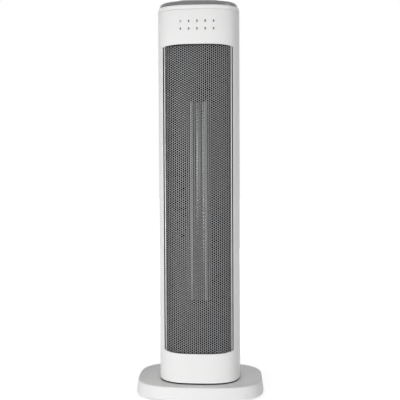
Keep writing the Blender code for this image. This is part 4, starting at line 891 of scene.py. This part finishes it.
def makeInnerFrame():
    inset, thick, back = innerFrame["inset"], innerFrame["thick"], innerFrame["back"]
    low, high = innerFrame["ends"]
    shape = bmesh.new()
    outer = arcRings(body, [(inset, 0)], back, True)[0]
    inner = arcRings(body, [(inset + thick, 0)], back, True)[0]
    for side in (-1, 1):
        pairs = [(a, b) for a, b in zip(outer, inner) if a[0] * side > innerFrame["sideFrom"]]
        outline = [a[:2] for a, b in pairs] + [b[:2] for a, b in pairs[::-1]]
        prism(shape, outline, upright(low, high))
    for z in (low, high - thick):
        prism(shape, [p[:2] for p in outer], upright(z, z + thick))
    return meshObject("innerFrame", shape, shadeBlack)


inside = makeInnerFrame()
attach(inside, "tower")


# Fin packs of the heating element

fins = {
    "pitch": 2.6 * mm, "sheet": 0.35 * mm, "inset": 0.2 * mm, "smooth": 20,
    "bottom": 176 * mm, "top": 544 * mm, "front": -35.7 * mm, "back": -22 * mm,
}
finPacks = [
    # name, replaced node, from x, to x
    ("finsLeft", "element_fins_left", -22.3 * mm, -15.3 * mm),
    ("finsMiddle", "element_fins_middle", -10.7 * mm, 10.7 * mm),
    ("finsRight", "element_fins_right", 15.3 * mm, 22.3 * mm),
]


def makeFins(name, low, high):
    # One sheet folded to and fro on its way up.
    folds = int((fins["top"] - fins["bottom"]) / fins["pitch"])
    rise = (fins["top"] - fins["bottom"]) / folds / 2
    shape = bmesh.new()
    rows = []
    for step in range(2 * folds + 1):
        x = low + fins["inset"] if step % 2 else high - fins["inset"]
        z = fins["bottom"] + rise * step
        rows.append((shape.verts.new((x, fins["front"], z)), shape.verts.new((x, fins["back"], z))))
    for first, second in zip(rows, rows[1:]):
        shape.faces.new((first[0], second[0], second[1], first[1]))
    # The fins' very dark metal is painted shade inside the housing.
    obj = meshObject(name, shape, finShadeMetal, fins["smooth"])
    solid = obj.modifiers.new("thickness", "SOLIDIFY")
    solid.thickness = fins["sheet"]
    solid.offset = 0
    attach(obj, "tower")
    return obj


for name, node, low, high in finPacks:
    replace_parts(makeFins(name, low, high), node)
print("fins ready")


# Floor, light and camera

stageLook = {
    "half": 6.0, "floor": 0.8, "nearGlow": 0.62, "farGlow": 1.0, "near": 0.15, "far": 0.5,
    "world": 0.24, "backdrop": 1.0,
}
camera = {
    "distance": 1.2876, "aside": 0.00054, "height": 0.4399, "azimuth": 3.62, "pitch": 2.0, "roll": -0.25,
    "sensor": 36.0, "lens": 61.02, "shiftY": -0.045, "clip": (0.05, 50),
}
lamps = [
    # name, azimuth, distance, height, width, tall, watts, aimed at height, seen in gloss
    ("keySoftbox", -25, 1.9, 0.27, 1.2, 0.5, 23.0, 0.2, True),
    ("sideSoftbox", 66, 1.8, 0.6, 0.8, 1.2, 6.8, 0.3, True),
    ("topSoftbox", 0, 0.1, 2.3, 1.2, 1.2, 0.8, 0.1, True),
    ("rearSoftbox", 180, 2.0, 0.36, 1.2, 0.7, 12.0, 0.36, False),
]


def seenThrough(tree, socket, otherwise, seen):
    # One value for what is seen directly, in gloss or through glass, another for the light it gives.
    path = addNode(tree, "ShaderNodeLightPath")
    direct = calc(tree, "MAXIMUM", path.outputs["Is Camera Ray"], path.outputs["Is Glossy Ray"])
    every = calc(tree, "MAXIMUM", direct, path.outputs["Is Transmission Ray"])
    tree.links.new(mapRange(tree, every, 0.0, 1.0, otherwise, seen), socket)


def makeStage():
    shape = bmesh.new()
    bmesh.ops.create_grid(shape, x_segments=1, y_segments=1, size=stageLook["half"])
    paint = plastic("floorPaint", grey(stageLook["floor"]), 0.7, 0.1, 0.004)
    tree = paint.node_tree
    place = addNode(tree, "ShaderNodeNewGeometry")
    away = addNode(tree, "ShaderNodeVectorMath", operation="LENGTH")
    tree.links.new(place.outputs["Position"], away.inputs[0])
    glow = mapRange(tree, away.outputs["Value"], stageLook["near"], stageLook["far"],
                    stageLook["nearGlow"], stageLook["farGlow"])
    shader = tree.nodes["Principled BSDF"]
    seenThrough(tree, shader.inputs["Emission Strength"], 0.0, glow)
    shader.inputs["Emission Color"].default_value = (1, 1, 1, 1)
    floor = meshObject("floor", shape, paint)
    world = bpy.data.worlds.new("studio")
    bpy.context.scene.world = world
    world.use_nodes = True
    background = world.node_tree.nodes["Background"]
    seenThrough(world.node_tree, background.inputs["Strength"], stageLook["world"], stageLook["backdrop"])
    background.inputs["Color"].default_value = (1.0, 1.0, 1.0, 1.0)


def makeLamps():
    for name, azimuth, distance, height, width, tall, watts, aim, inGloss in lamps:
        light = bpy.data.lights.new(name, "AREA")
        light.shape = "RECTANGLE"
        light.size = width
        light.size_y = tall
        light.energy = watts
        lamp = bpy.data.objects.new(name, light)
        turn = math.radians(azimuth)
        place = Vector((math.sin(turn) * distance, -math.cos(turn) * distance, height))
        lamp.location = place
        lamp.visible_camera = inGloss
        lamp.visible_glossy = inGloss
        lamp.rotation_euler = (Vector((0, 0, aim)) - place).to_track_quat("-Z", "Y").to_euler()
        bpy.context.scene.collection.objects.link(lamp)


def makeCamera():
    lens = bpy.data.cameras.new("camera")
    lens.sensor_width = camera["sensor"]
    lens.lens = camera["lens"]
    lens.shift_y = camera["shiftY"]
    lens.clip_start, lens.clip_end = camera["clip"]
    eye = bpy.data.objects.new("camera", lens)
    turn = math.radians(camera["azimuth"])
    away, aside = camera["distance"], camera["aside"]
    eye.location = (math.sin(turn) * away + math.cos(turn) * aside,
                    math.sin(turn) * aside - math.cos(turn) * away, camera["height"])
    tilt = Matrix.Rotation(math.radians(90 - camera["pitch"]), 4, "X")
    roll = Matrix.Rotation(math.radians(camera["roll"]), 4, "Z")
    eye.rotation_euler = (Matrix.Rotation(turn, 4, "Z") @ tilt @ roll).to_euler()
    bpy.context.scene.collection.objects.link(eye)
    bpy.context.scene.camera = eye


makeStage()
makeLamps()
makeCamera()
bpy.context.scene.view_settings.view_transform = "Standard"
print("stage ready")
